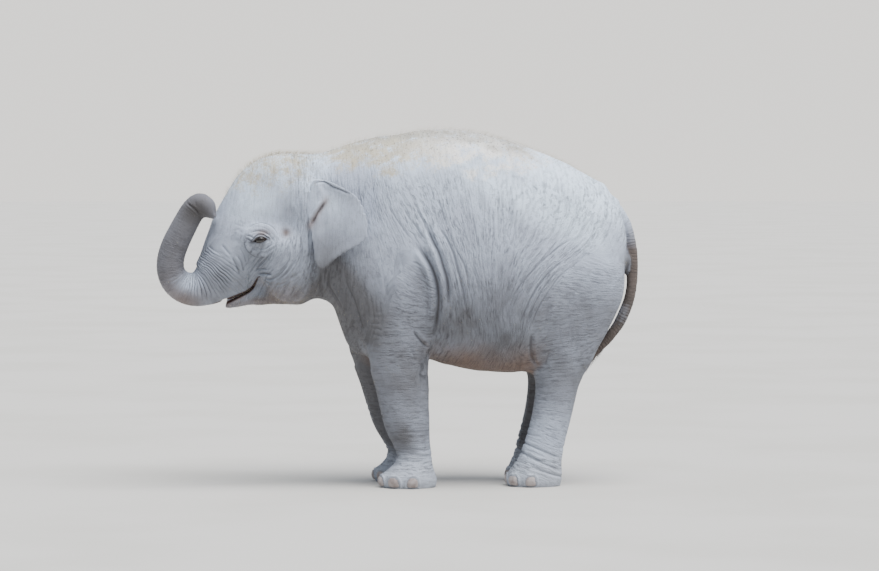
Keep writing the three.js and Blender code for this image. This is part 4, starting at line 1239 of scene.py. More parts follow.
    def paint(self, surface: Surface, dark: Array) -> None:
        """Keeps the masks that the finish reads."""
        points, normals = surface.points, surface.normals
        x, y, z = points.T
        up = normals[:, 2]
        drift = ripple(points, 0.22, 31) + 0.6 * ripple(points, 0.07, 32)
        back = soft_step(z + 0.04 * drift, 1.28, 1.46) * soft_step(up, 0.0, 0.6)
        back *= soft_step(x, -0.42, -0.22) * soft_step(x + 0.05 * drift, 0.82, 0.52)
        crown = 0.75 * soft_step(z + 0.03 * drift, 1.2, 1.4) * soft_step(x, -0.3, -0.45)
        low = z + 0.012 * drift
        belly = soft_step(up, -0.1, -0.85) * soft_step(low, 0.66, 0.51) * soft_step(z, 0.42, 0.5)
        tail = np.zeros(len(x))
        on_tail, tail_reach = TAIL.read(points[x > TAIL_PART])
        tail[x > TAIL_PART] = soft_step(tail_reach, 1.5, 1.2) * soft_step(on_tail.share, 0.03, 0.26)
        belly *= soft_step(x, -0.2, -0.05) * soft_step(x, 0.68, 0.56)
        front = x < TRUNK_PART
        found, reach = TRUNK.read(points[front])
        on_trunk = np.zeros(len(x))
        share = np.zeros(len(x))
        on_trunk[front] = soft_step(reach, 1.5, 1.25)
        share[front] = found.share * on_trunk[front]
        curl = bell(np.hypot(x + 0.95, z - 0.80), 0.1) * soft_step(up, 0.2, -0.4)
        mouth, half_gap = self.at_mouth(points)
        under = np.where(x < TRUNK_PART, soft_step(mouth.offset[:, 2], 4 * MM, -4 * MM), 1.0)
        jaw = soft_step(up, 0.0, -0.7) * soft_step(z, 0.93, 0.84) * soft_step(x, -0.32, -0.5) * under
        lip = bell(mouth.distance - 9 * MM, 9 * MM) * under * soft_step(x, -0.64, -0.7)
        gland = 0.9 * bell(np.hypot(x + 0.498, z - 1.098), 0.02) * (np.abs(y) > 0.05)
        brow = 0.7 * bell(np.hypot(0.5 * (x + 0.6), z - 1.098), 0.014) * (np.abs(y) > 0.05)
        bend = bell(np.hypot(x + 0.88, z - 1.205), 0.07) * on_trunk
        dark = np.maximum.reduce([dark, 0.55 * bend, 0.5 * gland])
        surface.mark("dark", np.clip(dark, 0, 1))
        # Painted shade in the hollows: how deep each vertex lies below the skin around it, in millimetres.
        surface.mark("cavity_shade", surface.hollows(6) / MM)
        surface.mark("dust", np.clip(back + crown, 0, 1))
        ridge = soft_step(up + 0.04 * drift, 0.66, 0.88) * soft_step(x, -0.3, -0.08) * soft_step(x, 0.68, 0.5)
        surface.mark("ridge", ridge)
        # Painted brown shade along the fold of the ear.
        fold = nearest_on(EAR_CREASES[1].knots(), points[:, [0, 2]]).distance
        ear_fold = 0.7 * bell(fold, 0.015) * (np.abs(y) > 0.15)
        warm = 0.9 * belly + 0.55 * curl + 0.35 * jaw + 0.7 * lip + gland + brow + 0.3 * tail + ear_fold
        surface.mark("warm", np.clip(warm, 0, 1))
        # The tone mark keeps painted light and shade; the tail is darker, and the fold between the thighs
        # gets painted shade.
        surface.mark("painted_light_tone", self.painted_light_tone(surface) - 1.1 * tail - 0.9 * self.between_thighs(points))
        surface.mark("trunk", share)
        surface.mark("foot", soft_step(z, 0.2, 0.06))
        facing = -(mouth.offset * normals).sum(1) / np.maximum(mouth.distance, 1e-6)
        inner = soft_step(mouth.distance - half_gap, 8 * MM, 2 * MM) * soft_step(facing, -0.1, 0.5)
        surface.mark("mouth", inner * (x < TRUNK_PART))

    def painted_light_tone(self, surface: Surface) -> Array:
        """Tells how much painted light (above 0) or painted shade the hide gets at each vertex, with a little
        random tone.
        """
        points, normals = surface.points, surface.normals
        z = points[:, 2]
        up = normals[:, 2]
        outward = normals[:, 1] * np.sign(points[:, 1])
        # Painted shade and light by height, darker low on the body and lighter on the back.
        painted_light_tone = np.interp(z, *zip(*LIGHT_SHADE_BY_HEIGHT))
        # Painted light on faces that turn up, and painted shade on faces that turn down.
        painted_light_tone = painted_light_tone + 0.25 * soft_step(up, 0.1, 0.8) - 0.1 * soft_step(up, -0.1, -0.7)
        # Painted shade on faces that turn in towards the middle, as on the inner sides of the legs.
        painted_light_tone -= 0.8 * soft_step(outward, 0.45, -0.9) * soft_step(z, 0.95, 0.55) * soft_step(z, 0.03, 0.18)
        spots = sum(spot.read(points) for spot in LIGHT_SHADE_SPOTS)
        spots *= np.maximum(soft_step(outward, -0.3, 0.1), soft_step(points[:, 0], -0.72, -0.8))
        # The spots are painted light and shade; the ripples are the hide's random tone.
        painted_light_tone += spots + 0.08 * ripple(points, 0.2, 33) + 0.05 * ripple(points, 0.06, 34)
        return np.clip(painted_light_tone, -1, 1)


# ------------------------------------------------------------------------------ finishes


def srgb(red: float, green: float, blue: float) -> Rgba:
    """Turns a colour as painters' software gives it, 0 to 255, into the linear one of a socket."""
    shares = (red / 255, green / 255, blue / 255)
    linear = [c / 12.92 if c < 0.04045 else ((c + 0.055) / 1.055) ** 2.4 for c in shares]
    return (*linear, 1.0)


class Nodes:
    """Adds nodes to one node tree and links them."""

    def __init__(self, tree: bpy.types.NodeTree) -> None:
        """Empties the tree and starts on it."""
        self.tree = tree
        tree.nodes.clear()

    def add(self, kind: str, given: Feeds | None = None, **settings: object) -> bpy.types.Node:
        """Adds a node.

        Args:
            kind: Its type.
            given: What feeds its inputs, by their names or numbers.
            **settings: Its properties.

        Returns:
            The node.
        """
        node = self.tree.nodes.new(kind)
        for setting, value in settings.items():
            setattr(node, setting, value)
        self.feed(node, given or {})
        return node

    def feed(self, node: bpy.types.Node, given: Feeds) -> None:
        """Links outputs to a node's inputs, or sets those to plain values."""
        for name, value in given.items():
            socket = node.inputs[name]
            if isinstance(value, Socket):
                self.tree.links.new(value, socket)
            else:
                socket.default_value = value

    def place(self) -> Socket:
        """Gives the place on the object, in metres."""
        return self.add("ShaderNodeTexCoord").outputs["Object"]

    def attribute(self, name: str) -> Socket:
        """Gives a value that the mesh keeps at its vertices."""
        return self.add("ShaderNodeAttribute", attribute_name=name).outputs["Fac"]

    def maths(self, operation: str, *values: Value) -> Socket:
        """Works out a value from others."""
        return self.add("ShaderNodeMath", dict(enumerate(values)), operation=operation).outputs[0]

    def times(self, value: Value, factor: Value, plus: Value | None = None) -> Socket:
        """Multiplies two values, and may add a third."""
        if plus is None:
            return self.maths("MULTIPLY", value, factor)
        return self.maths("MULTIPLY_ADD", value, factor, plus)

    def step(self, value: Value, low: float, high: float, top: float = 1.0) -> Socket:
        """Rises smoothly from 0 at low to top at high."""
        given = {"Value": value, "From Min": low, "From Max": high, "To Max": top}
        return self.add("ShaderNodeMapRange", given, interpolation_type="SMOOTHSTEP").outputs["Result"]

    def stretched(self, place: Socket, by: tuple[float, float, float]) -> Socket:
        """Multiplies a place by a number along each axis."""
        return self.add("ShaderNodeVectorMath", {0: place, 1: by}, operation="MULTIPLY").outputs[0]

    def warped(self, place: Socket, scale: float, amount: float) -> Socket:
        """Shifts a place by a smooth random amount, so that a pattern on it runs unevenly."""
        noise = self.add("ShaderNodeTexNoise", {"Vector": place, "Scale": scale, "Detail": 2.0})
        given = {0: noise.outputs["Color"], 1: (amount, amount, amount), 2: place}
        return self.add("ShaderNodeVectorMath", given, operation="MULTIPLY_ADD").outputs[0]

    def noise(self, place: Socket, scale: float, detail: float = 3.0) -> Socket:
        """Gives a smooth random value, mostly between 0.3 and 0.7."""
        given = {"Vector": place, "Scale": scale, "Detail": detail}
        return self.add("ShaderNodeTexNoise", given).outputs["Fac"]

    def net(self, place: Socket, scale: float, width: float) -> Socket:
        """Gives the lines between the cells of a random net, 1 on a line."""
        given = {"Vector": place, "Scale": scale}
        node = self.add("ShaderNodeTexVoronoi", given, feature="DISTANCE_TO_EDGE")
        return self.step(node.outputs["Distance"], width, 0.0)

    def folds(self, place: Socket, across: Value, length: float, spacing: float) -> Socket:
        """Gives long uneven valleys that follow the level lines of a field, 1 at the bottom of one.

        Args:
            place: The place on the object.
            across: The field, in metres.
            length: How often a valley ends or bends, per metre.
            spacing: How much closer they lie across the field than along it.

        Returns:
            The depth of the valleys.
        """
        given = {"Vector": place, "W": self.times(across, spacing), "Scale": length, "Detail": 1.0}
        noise = self.add("ShaderNodeTexNoise", given, noise_dimensions="4D")
        return self.step(noise.outputs["Fac"], 0.54, 0.34)

    def mix(self, share: Value, below: object, above: object) -> Socket:
        """Mixes two colours."""
        return self.add("ShaderNodeMix", {0: share, 6: below, 7: above}, data_type="RGBA").outputs[2]

    def bump(self, height: Socket) -> Socket:
        """Turns a height in millimetres into a normal."""
        given = {"Strength": 1.0, "Distance": MM, "Height": height}
        return self.add("ShaderNodeBump", given).outputs["Normal"]


def new_group(
    name: str, inputs: Sequence[str], outputs: Sequence[str]
) -> tuple[Nodes, bpy.types.Node, bpy.types.Node]:
    """Makes an empty node group with value sockets.

    Args:
        name: The group's name.
        inputs: Names of its inputs.
        outputs: Names of its outputs.

    Returns:
        Its nodes, its input node and its output node.
    """
    tree = bpy.data.node_groups.new(name, "ShaderNodeTree")
    for way, sockets in (("INPUT", inputs), ("OUTPUT", outputs)):
        for socket in sockets:
            tree.interface.new_socket(socket, in_out=way, socket_type="NodeSocketFloat")
    nodes = Nodes(tree)
    return nodes, nodes.add("NodeGroupInput"), nodes.add("NodeGroupOutput")


def wrinkle_group() -> bpy.types.NodeTree:
    """Makes the group of fine skin folds.

    Across is a field in metres whose level lines the long folds follow, Amount is their strength,
    Ring counts the rings of the trunk and the tail, and Ringed is the strength of those. The group
    puts out Lines, the darkness of the folds and rings as painted shade in them, and Height in millimetres.
    """
    inputs = ("Across", "Amount", "Ring", "Ringed")
    nodes, given, result = new_group("skin_folds", inputs, ("Lines", "Height"))
    across, amount, ring, ringed = (given.outputs[name] for name in inputs)
    place = nodes.place()
    long_folds = nodes.folds(place, across, 9.0, 14.0)
    short_folds = nodes.folds(place, across, 40.0, 3.2)
    patches = nodes.step(nodes.noise(place, 6.0), 0.36, 0.6)
    short_folds = nodes.times(short_folds, nodes.times(patches, 0.5, 0.4))
    net = nodes.net(nodes.warped(place, 14.0, 0.02), 110.0, 0.13)
    coarse = nodes.times(short_folds, 0.75, nodes.times(long_folds, 0.5))
    coarse = nodes.times(net, 0.22, coarse)
    coarse = nodes.times(coarse, nodes.times(amount, 0.9, 0.1))
    beat = nodes.maths("ABSOLUTE", nodes.maths("SUBTRACT", nodes.maths("FRACT", ring), 0.5))
    rings = nodes.times(nodes.step(beat, 0.36, 0.49), ringed)
    lines = nodes.maths("MAXIMUM", coarse, nodes.times(rings, 1.3))
    fine = nodes.net(place, 190.0, 0.2)
    pillow = nodes.noise(place, 30.0)
    grain = nodes.noise(place, 420.0, 2.0)
    height = nodes.times(lines, -3.4, nodes.times(pillow, 1.8))
    height = nodes.times(fine, -0.35, height)
    height = nodes.times(grain, 0.25, height)
    nodes.feed(result, {"Lines": nodes.times(fine, 0.1, lines), "Height": height})
    return nodes.tree


def dust_group() -> bpy.types.NodeTree:
    """Makes the group of dry dust. Its input Amount becomes Cover, broken into patches, and Specks."""
    nodes, given, result = new_group("dust", ("Amount",), ("Cover", "Specks"))
    place = nodes.place()
    thickness = given.outputs["Amount"]
    patches = nodes.maths("SUBTRACT", nodes.noise(place, 26.0, 8.0), 0.5)
    powder = nodes.maths("SUBTRACT", nodes.noise(place, 160.0), 0.5)
    amount = nodes.times(patches, 2.0, nodes.times(thickness, 1.3, -0.45))
    amount = nodes.times(powder, 1.6, amount)
    cover = nodes.times(nodes.step(amount, -0.1, 0.9), nodes.step(thickness, 0.0, 0.3))
    specks = nodes.step(nodes.noise(place, 95.0, 2.0), 0.60, 0.68)
    nodes.feed(result, {"Cover": cover, "Specks": nodes.times(specks, thickness)})
    return nodes.tree


@dataclass(frozen=True)
class Finish:
    """A finish with the plain values of its shader. Each kind tells what feeds its shader."""

    name: str
    roughness: float
    specular: float

    def material(self) -> bpy.types.Material:
        """Makes the material."""
        material = bpy.data.materials.new(self.name)
        material.use_nodes = True
        nodes = Nodes(material.node_tree)
        plain = {"Roughness": self.roughness, "Specular IOR Level": self.specular}
        shader = nodes.add("ShaderNodeBsdfPrincipled", plain)
        nodes.add("ShaderNodeOutputMaterial", {"Surface": shader.outputs["BSDF"]})
        nodes.feed(shader, self.inputs(nodes))
        return material

    def inputs(self, nodes: Nodes) -> Feeds:
        """Gives what feeds the shader's inputs."""
        raise NotImplementedError


@dataclass(frozen=True)
class HideFinish(Finish):
    """Dry grey hide with its folds, dust on the back, warm brown below, and painted light and shade in its
    colour.
    """

    name: str = "hide"
    roughness: float = 0.8
    specular: float = 0.25
    plain: Rgba = srgb(161, 168, 184)
    pale: Rgba = srgb(185, 195, 213)
    # The dark colour of painted shade in creases, folds and hollows, and of the dust's specks.
    deep: Rgba = srgb(54, 50, 50)
    sand: Rgba = srgb(248, 243, 236)
    warm_brown: Rgba = srgb(122, 97, 80)
    lip: Rgba = srgb(58, 36, 32)
    trunk: Rgba = srgb(104, 102, 107)
    # Colours of painted highlight and painted shade, mixed in by the tone mark.
    painted_highlight: Rgba = srgb(220, 236, 254)
    painted_shade: Rgba = srgb(84, 82, 82)
    ochre: Rgba = srgb(188, 176, 148)
    rosy: Rgba = srgb(240, 233, 230)
    straw: Rgba = srgb(152, 143, 124)
    foot: Rgba = srgb(173, 177, 185)

    def inputs(self, nodes: Nodes) -> Feeds:
        """Gives what feeds the shader's inputs."""
        place = nodes.place()
        marks = {"Across": "across", "Amount": "fold", "Ring": "ring", "Ringed": "ringed"}
        given = {socket: nodes.attribute(mark) for socket, mark in marks.items()}
        folds = nodes.add("ShaderNodeGroup", given, node_tree=wrinkle_group())
        dust = nodes.add("ShaderNodeGroup", {"Amount": nodes.attribute("dust")}, node_tree=dust_group())
        mottle = nodes.step(nodes.noise(place, 3.2, 4.0), 0.36, 0.64)
        blotch = nodes.step(nodes.noise(place, 17.0, 4.0), 0.35, 0.68)
        colour = nodes.mix(nodes.times(blotch, 0.4, nodes.times(mottle, 0.6)), self.plain, self.pale)
        painted_light_tone = nodes.attribute("painted_light_tone")
        for share, tint in (
            (nodes.step(nodes.attribute("trunk"), 0.36, 0.5, 0.85), self.trunk),
            # Painted highlight where the tone mark is above 0, and painted shade where it is below.
            (nodes.step(painted_light_tone, 0.0, 1.0), self.painted_highlight),
            (nodes.times(painted_light_tone, -0.9), self.painted_shade),
            (nodes.times(nodes.attribute("foot"), 0.6), self.foot),
            (nodes.times(nodes.attribute("warm"), 0.9), self.warm_brown),
        ):
            colour = nodes.mix(share, colour, tint)
        along = nodes.add("ShaderNodeSeparateXYZ", {0: place}).outputs["X"]
        ridge = nodes.times(nodes.attribute("ridge"), nodes.times(blotch, 0.3, 0.65))
        sand = nodes.mix(nodes.step(along, -0.05, 0.3), self.ochre, self.sand)
        sand = nodes.mix(nodes.step(along, 0.3, 0.7), sand, self.rosy)
        sand = nodes.mix(ridge, sand, self.straw)
        colour = nodes.mix(nodes.times(dust.outputs["Cover"], 0.85), colour, sand)
        # Painted shade in creases, at the lids, round the nails, in the hollows and in the fine folds darkens
        # the hide towards the deep colour, as do the dust's real specks, the trunk's darker bend and the
        # gland's own dark spot.
        dark = nodes.attribute("dark")
        for shade in (
            nodes.step(nodes.attribute("cavity_shade"), 0.15, 1.6, 0.55),
            nodes.times(folds.outputs["Lines"], 0.62),
            nodes.times(dust.outputs["Specks"], nodes.times(ridge, 0.3, 0.6)),
        ):
            dark = nodes.maths("MAXIMUM", dark, shade)
        colour = nodes.mix(nodes.times(dark, 0.85), colour, self.deep)
        # The inside of the mouth takes the lip colour: its own red-brown, made darker as painted shade inside
        # the slit.
        colour = nodes.mix(nodes.attribute("mouth"), colour, self.lip)
        return {
            "Base Color": colour,
            "Roughness": nodes.times(blotch, 0.12, self.roughness - 0.08),
            "Normal": nodes.bump(folds.outputs["Height"]),
            "Sheen Weight": 0.05,
        }


@dataclass(frozen=True)
class NailFinish(Finish):
    """Pale horn, stained and ridged across."""

    name: str = "nail_horn"
    roughness: float = 0.55
    specular: float = 0.4
    pale: Rgba = srgb(168, 160, 159)
    stained: Rgba = srgb(142, 131, 128)
    edge: Rgba = srgb(140, 134, 134)

    def inputs(self, nodes: Nodes) -> Feeds:
        """Gives what feeds the shader's inputs."""
        place = nodes.place()
        stain = nodes.step(nodes.noise(place, 34.0, 4.0), 0.42, 0.66)
        ridge = nodes.noise(nodes.stretched(place, (0.15, 0.15, 1.0)), 260.0, 2.0)
        rim = nodes.step(nodes.attribute("rim"), 0.0, 1.0)
        colour = nodes.mix(stain, self.pale, self.stained)
        return {
            "Base Color": nodes.mix(nodes.times(rim, 0.8), colour, self.edge),
            "Roughness": nodes.times(stain, 0.2, self.roughness - 0.1),
            "Normal": nodes.bump(nodes.times(ridge, 0.5)),
        }


@dataclass(frozen=True)
class EyeFinish(Finish):
    """A wet, dark brown eye."""

    name: str = "eye_wet"
    roughness: float = 0.08
    specular: float = 0.6
    iris: Rgba = srgb(34, 23, 16)
    iris_rim: Rgba = srgb(14, 10, 8)
    white: Rgba = srgb(44, 36, 33)
    pupil: Rgba = srgb(6, 5, 5)

    def inputs(self, nodes: Nodes) -> Feeds:
        """Gives what feeds the shader's inputs."""
        away = nodes.attribute("away")
        fibres = nodes.noise(nodes.place(), 900.0)
        colour = nodes.mix(nodes.step(fibres, 0.35, 0.65), self.iris_rim, self.iris)
        colour = nodes.mix(nodes.step(away, 0.42, 0.58), colour, self.iris_rim)
        colour = nodes.mix(nodes.step(away, 0.58, 0.66), colour, self.white)
        colour = nodes.mix(nodes.step(away, 0.27, 0.23), colour, self.pupil)
        roughness = nodes.times(fibres, 0.04, self.roughness)
        return {"Base Color": colour, "Roughness": roughness, "Coat Weight": 0.4, "Coat Roughness": 0.04}


@dataclass(frozen=True)
class HairFinish(Finish):
    """Stiff hair, dark at the root."""

    name: str = "hair"
    roughness: float = 0.5
    specular: float = 0.35
    root: Rgba = srgb(38, 33, 31)
    tip: Rgba = srgb(70, 60, 54)

    def inputs(self, nodes: Nodes) -> Feeds:
        """Gives what feeds the shader's inputs."""
        tint = nodes.noise(nodes.place(), 40.0, 2.0)
        share = nodes.times(nodes.maths("SUBTRACT", tint, 0.5), 1.2, nodes.attribute("along"))
        colour = nodes.mix(nodes.step(share, 0.0, 1.0), self.root, self.tip)
        return {"Base Color": colour, "Roughness": nodes.times(tint, 0.2, self.roughness - 0.1)}


@dataclass(frozen=True)
class FloorFinish(Finish):
    """A plain pale floor, faintly uneven."""

    name: str = "floor_pale"
    roughness: float = 0.7
    specular: float = 0.2
    pale: Rgba = srgb(196, 193, 188)
    worn: Rgba = srgb(191, 188, 182)

    def inputs(self, nodes: Nodes) -> Feeds:
        """Gives what feeds the shader's inputs."""
        wear = nodes.step(nodes.noise(nodes.place(), 0.9, 4.0), 0.4, 0.65)
        return {"Base Color": nodes.mix(wear, self.pale, self.worn)}


# ------------------------------------------------------------------------------ eyes and nails


@dataclass
class Eyeball:
    """One eye's ball, with the clear bulge over its iris."""

    side: Side
    axes: EyeFrame
    eye: Eye
    bulge: float = 0.9 * MM

    def build(self) -> bpy.types.Object:
        """Makes the ball and dresses it."""
        deselect_all()
        middle = self.axes.origin - self.axes.out * self.eye.sunk
        bpy.ops.mesh.primitive_uv_sphere_add(segments=48, ring_count=32, radius=self.eye.ball)
        obj = primitive(f"eyeball_{self.side.name.lower()}")
        gaze = self.axes.out - 0.12 * self.axes.back
        gaze /= np.linalg.norm(gaze)
        turn = Vector((0, 0, 1)).rotation_difference(Vector(gaze))
        obj.matrix_world = turn.to_matrix().to_4x4()
        obj.location = middle
        bpy.ops.object.transform_apply(location=True, rotation=True, scale=True)
        surface = Surface(obj)
        rel = (surface.points - middle) / self.eye.ball
        away = np.arccos(np.clip(rel @ gaze, -1, 1))
        surface.points += rel * (self.bulge * bell(away, 0.5))[:, None]
        surface.store()
        surface.mark("away", away)
        dress(obj, EyeFinish().material())
        settle(obj, "eye", f"eye_{self.side.name.lower()}")
        return obj


@dataclass
class Nails:
    """The nails of all four feet, each shaped from its own solid."""

    voxel: float = 2.6 * MM
    ridge: float = 0.35 * MM
    ridge_spacing: float = 7 * MM

    def build(self) -> list[bpy.types.Object]:
        """Makes all nails and dresses them."""
        material = NailFinish().material()
        return [self.nail(name, material) for name in nail_nodes()]

    def nail(self, node: str, material: bpy.types.Material) -> bpy.types.Object:
        """Makes one nail."""
        obj = take(new_object(f"{node}_horn", frame["nodes"][node].data.copy()))
        obj.data.name = obj.name
        weld()
        apply_modifier(obj, "REMESH", mode="VOXEL", voxel_size=self.voxel)
        surface = Surface(obj)
        surface.soften(np.full(len(surface.points), 0.8), 4)
        z = surface.points[:, 2]
        low, high = z.min(), z.max()
        share = (z - low) / (high - low)
        surface.push(self.ridge * np.sin(2 * math.pi * z / self.ridge_spacing) * bell(share - 0.5, 0.5))
        surface.points[:, 2] = np.maximum(surface.points[:, 2], low)
        surface.store()
        surface.mark("rim", soft_step(share, 0.82, 1.0))
        dress(obj, material)
        settle(obj, "nail", node)
        return obj


# ------------------------------------------------------------------------------ hair


@dataclass
class HairPiece:
    """Many hairs as one mesh. Each has a root on the skin and tapers to its tip."""

    name: str
    finish: HairFinish
    rings: int = 5
    lines: list[Array] = field(default_factory=list)
    widths: list[float] = field(default_factory=list)
    spots: list[tuple[float, float]] = field(default_factory=list)

    def grow(self, line: Array, width: float, spot: tuple[float, float]) -> None:
        """Adds a hair.

        Args:
            line: Points of its middle, from root to tip.
            width: Its thickness at the root, in metres.
            spot: Where its root lies on the unwrap of the skin, in shares.
        """
        self.lines.append(line)
        self.widths.append(width)
        self.spots.append(spot)

    def build(self, slot: str, *nodes: str) -> bpy.types.Object:
        """Makes the mesh and dresses it."""
        corners = np.radians([90, 210, 330])
        lines = np.array(self.lines)
        count, rings = lines.shape[:2]
        heading = np.gradient(lines, axis=1)
        heading /= np.maximum(np.linalg.norm(heading, axis=2, keepdims=True), 1e-9)
        aside = np.cross(heading, np.array([0.31, 0.17, 0.93]))
        aside /= np.maximum(np.linalg.norm(aside, axis=2, keepdims=True), 1e-9)
        third = np.cross(heading, aside)
        share = np.linspace(0, 1, rings)
        radius = 0.5 * np.array(self.widths)[:, None] * (1 - share**1.6)[None]
        around = [lines + radius[..., None] * (math.cos(a) * aside + math.sin(a) * third) for a in corners]
        tube = np.stack(around, 2)[:, :-1]
        points = np.concatenate([tube.reshape(count, -1, 3), lines[:, -1:]], 1)
        faces = [(2, 1, 0)]
        for ring in range(rings - 2):
            for side in range(3):
                a, b = 3 * ring + side, 3 * ring + (side + 1) % 3
                faces += [(a, b, b + 3), (a, b + 3, a + 3)]
        last = 3 * (rings - 2)
        faces += [(last + side, last + (side + 1) % 3, last + 3) for side in range(3)]
        pattern = np.array(faces)
        per_hair = points.shape[1]
        every = (pattern[None] + per_hair * np.arange(count)[:, None, None]).reshape(-1, 3)
        mesh = bpy.data.meshes.new(self.name)
        mesh.from_pydata(points.reshape(-1, 3), [], every.tolist())
        obj = new_object(self.name, mesh)
        at = np.concatenate([np.repeat(share[:-1], 3), [1.0]])
        Surface(obj).mark("along", np.tile(at, count))
        sideways = np.concatenate([np.tile([0, 0.5, 1.0], rings - 1), [0.5]])
        patch = np.stack([sideways, at], 1) * HAIR_PATCH
        uv = np.array(self.spots)[:, None] + patch[None]
        layer = mesh.uv_layers.new(name="OFBake")
        layer.data.foreach_set("uv", uv.reshape(-1, 2)[every.ravel()].astype(np.float32).ravel())
        mesh.materials.append(self.finish.material())
        settle(obj, slot, *nodes)
        return obj


def body_spot(place: Array) -> tuple[float, float]:
    """Unwraps a place of the skin: its share of the length, and the angle about the long middle."""
    u = (place[0] + 1.1) / 2.2
    v = math.atan2(place[1], place[2] - 1.0) / (2 * math.pi) + 0.5
    return UNWRAP * float(np.clip(u, 0, 1)), UNWRAP * float(np.clip(v, 0, 1))


def bent_hair(root: Array, start: Array, end: Array, length: float, rings: int) -> Array:
    """Gives a hair's middle line, which turns from one heading to another.

    Args:
        root: Where it grows.
        start: Its heading there.
        end: Its heading at the tip.
        length: Its length.
        rings: How many points it has.

    Returns:
        The points from root to tip.
    """
    share = np.linspace(0, 1, rings)[:, None]
    heading = (1 - share) * start + share * end
    heading /= np.linalg.norm(heading, axis=1, keepdims=True)
    steps = 0.5 * (heading[1:] + heading[:-1]) * length / (rings - 1)
    return root + np.vstack([np.zeros(3), np.cumsum(steps, 0)])


@dataclass
class TailTuft:
    """The coarse hair round the tail's last stretch and its tip."""

    hairs: int = 620
    seed: int = 41
    longest: float = 150 * MM
    thick: float = 1.5 * MM

    def build(self) -> bpy.types.Object:
        """Grows the hairs round the tail's last stretch."""
        draw = np.random.default_rng(self.seed)
        piece = HairPiece("tail_hair", HairFinish("coarse_hair"), rings=6)
        line = TAIL.line()
        for _ in range(self.hairs):
            share = 1 - 0.30 * draw.random() ** 1.4
            at = share * (len(line) - 1)
            low = min(int(at), len(line) - 2)
            middle = line[low] + (at - low) * (line[low + 1] - line[low])
            heading = line[low + 1][:3] - line[low][:3]
            heading /= np.linalg.norm(heading)
            angle = draw.uniform(0, 2 * math.pi)
            across = np.cross(heading, [0, 1, 0])
            across /= np.linalg.norm(across)
            out = math.cos(angle) * across + math.sin(angle) * np.array([0, 1.0, 0])
            root = middle[:3] + 0.7 * middle[3] * out
            tip_heading = heading + 0.16 * out + draw.normal(0, 0.10, 3) + np.array([0.03, 0, -0.35])
            length = self.longest * draw.uniform(0.45, 1.0) * (0.5 + 0.5 * soft_step(share, 0.7, 0.95))
            end = tip_heading / np.linalg.norm(tip_heading)
            hair = bent_hair(root, heading + 0.30 * out, end, length, piece.rings)
            spot = (0.05 + 0.9 * share, angle / (2 * math.pi) * 0.99)
            piece.grow(hair, self.thick * draw.uniform(0.7, 1.2), spot)
        return piece.build("tuft", "tail_tuft")


@dataclass
class Lashes:
    """The long lashes of the upper lids."""

    eye: Eye
    count: int = 34
    seed: int = 43
    length: float = 30 * MM

    def build(self, frames: dict[Side, EyeFrame]) -> bpy.types.Object:
        """Grows the lashes along the edge of each upper lid."""
        draw = np.random.default_rng(self.seed)
        piece = HairPiece("lashes", HairFinish("lash_hair"), rings=5)
        eye = self.eye
        for side, axes in frames.items():
            for share in np.linspace(-0.86, 0.9, self.count):
                u = share * eye.half_length
                v = eye.rise * (1 - abs(share) ** 2.4) + 1.2 * MM
                w = math.sqrt((eye.ball + eye.lid) ** 2 - u * u - v * v) - eye.sunk - 0.5 * MM
                root = axes.origin + u * axes.back + v * axes.up + w * axes.out
                start = axes.out + 0.25 * share * axes.back - 0.1 * axes.up
                end = 0.55 * axes.out + 0.5 * share * axes.back - 0.75 * axes.up + draw.normal(0, 0.08, 3)
                hair = bent_hair(root, start, end, self.length * draw.uniform(0.7, 1.0), piece.rings)
                piece.grow(hair, 0.8 * MM, (0.25 + 0.2 * side.value + 0.1 * share, 0.5))
        return piece.build("tuft")


@dataclass
class Bristles:
    """Short sparse hair over the crown, the back, the chin and the tail."""

    count: int = 5200
    seed: int = 47
    length: float = 24 * MM
    thick: float = 0.55 * MM

    def build(self, skin: bpy.types.Object) -> bpy.types.Object:
        """Grows the bristles from the finished skin."""
        draw = np.random.default_rng(self.seed)
        surface = Surface(skin)
        mesh = skin.data
        mesh.calc_loop_triangles()
        corners = surface.points[rows_of(mesh.loop_triangles, "vertices", 3, np.int32)]
        middle = corners.mean(1)
        face = np.cross(corners[:, 1] - corners[:, 0], corners[:, 2] - corners[:, 0])
        area = np.linalg.norm(face, axis=1)
        face /= np.maximum(area, 1e-12)[:, None]
        weight = area * self.density(middle, face)
        chosen = draw.choice(len(weight), self.count, p=weight / weight.sum())
        # The pale straw colours are partly the hair's own and partly painted highlight, where the bristles
        # catch the light.
        finish = HairFinish("bristle_hair", root=srgb(150, 138, 114), tip=srgb(208, 198, 164))
        piece = HairPiece("bristles", finish, rings=4)
        for row in chosen:
            mixing = draw.dirichlet((1, 1, 1))
            root = mixing @ corners[row] - 0.5 * MM * face[row]
            lie = np.array([0.8, 0, -0.45])
            lie = lie - face[row] * (lie @ face[row])
            start = face[row] + 0.35 * lie + draw.normal(0, 0.15, 3)
            end = 0.35 * face[row] + lie + draw.normal(0, 0.2, 3)
            length = self.length * draw.uniform(0.5, 1.2) * self.tallness(middle[row])
            piece.grow(bent_hair(root, start, end, length, piece.rings), self.thick, body_spot(root))
        return piece.build("tuft")

    def density(self, places: Array, face: Array) -> Array:
        """Tells how thickly the bristles stand."""
        x, _, z = places.T
        crown = soft_step(z, 1.22, 1.32) * soft_step(x, -0.30, -0.40)
        spine = soft_step(z, 1.28, 1.42) * soft_step(face[:, 2], 0.3, 0.8)
        chin = soft_step(z, 0.95, 0.88) * soft_step(x, -0.35, -0.45) * soft_step(x, -0.78, -0.70)
        rest = 0.035 * soft_step(z, 0.25, 0.6)
        return crown + 0.5 * spine + 0.45 * chin + rest

    def tallness(self, place: Array) -> float:
        """Tells how long the bristles are at a place, against the longest."""
        return 1.15 if place[2] > 1.25 else 0.7


# ------------------------------------------------------------------------------ the studio


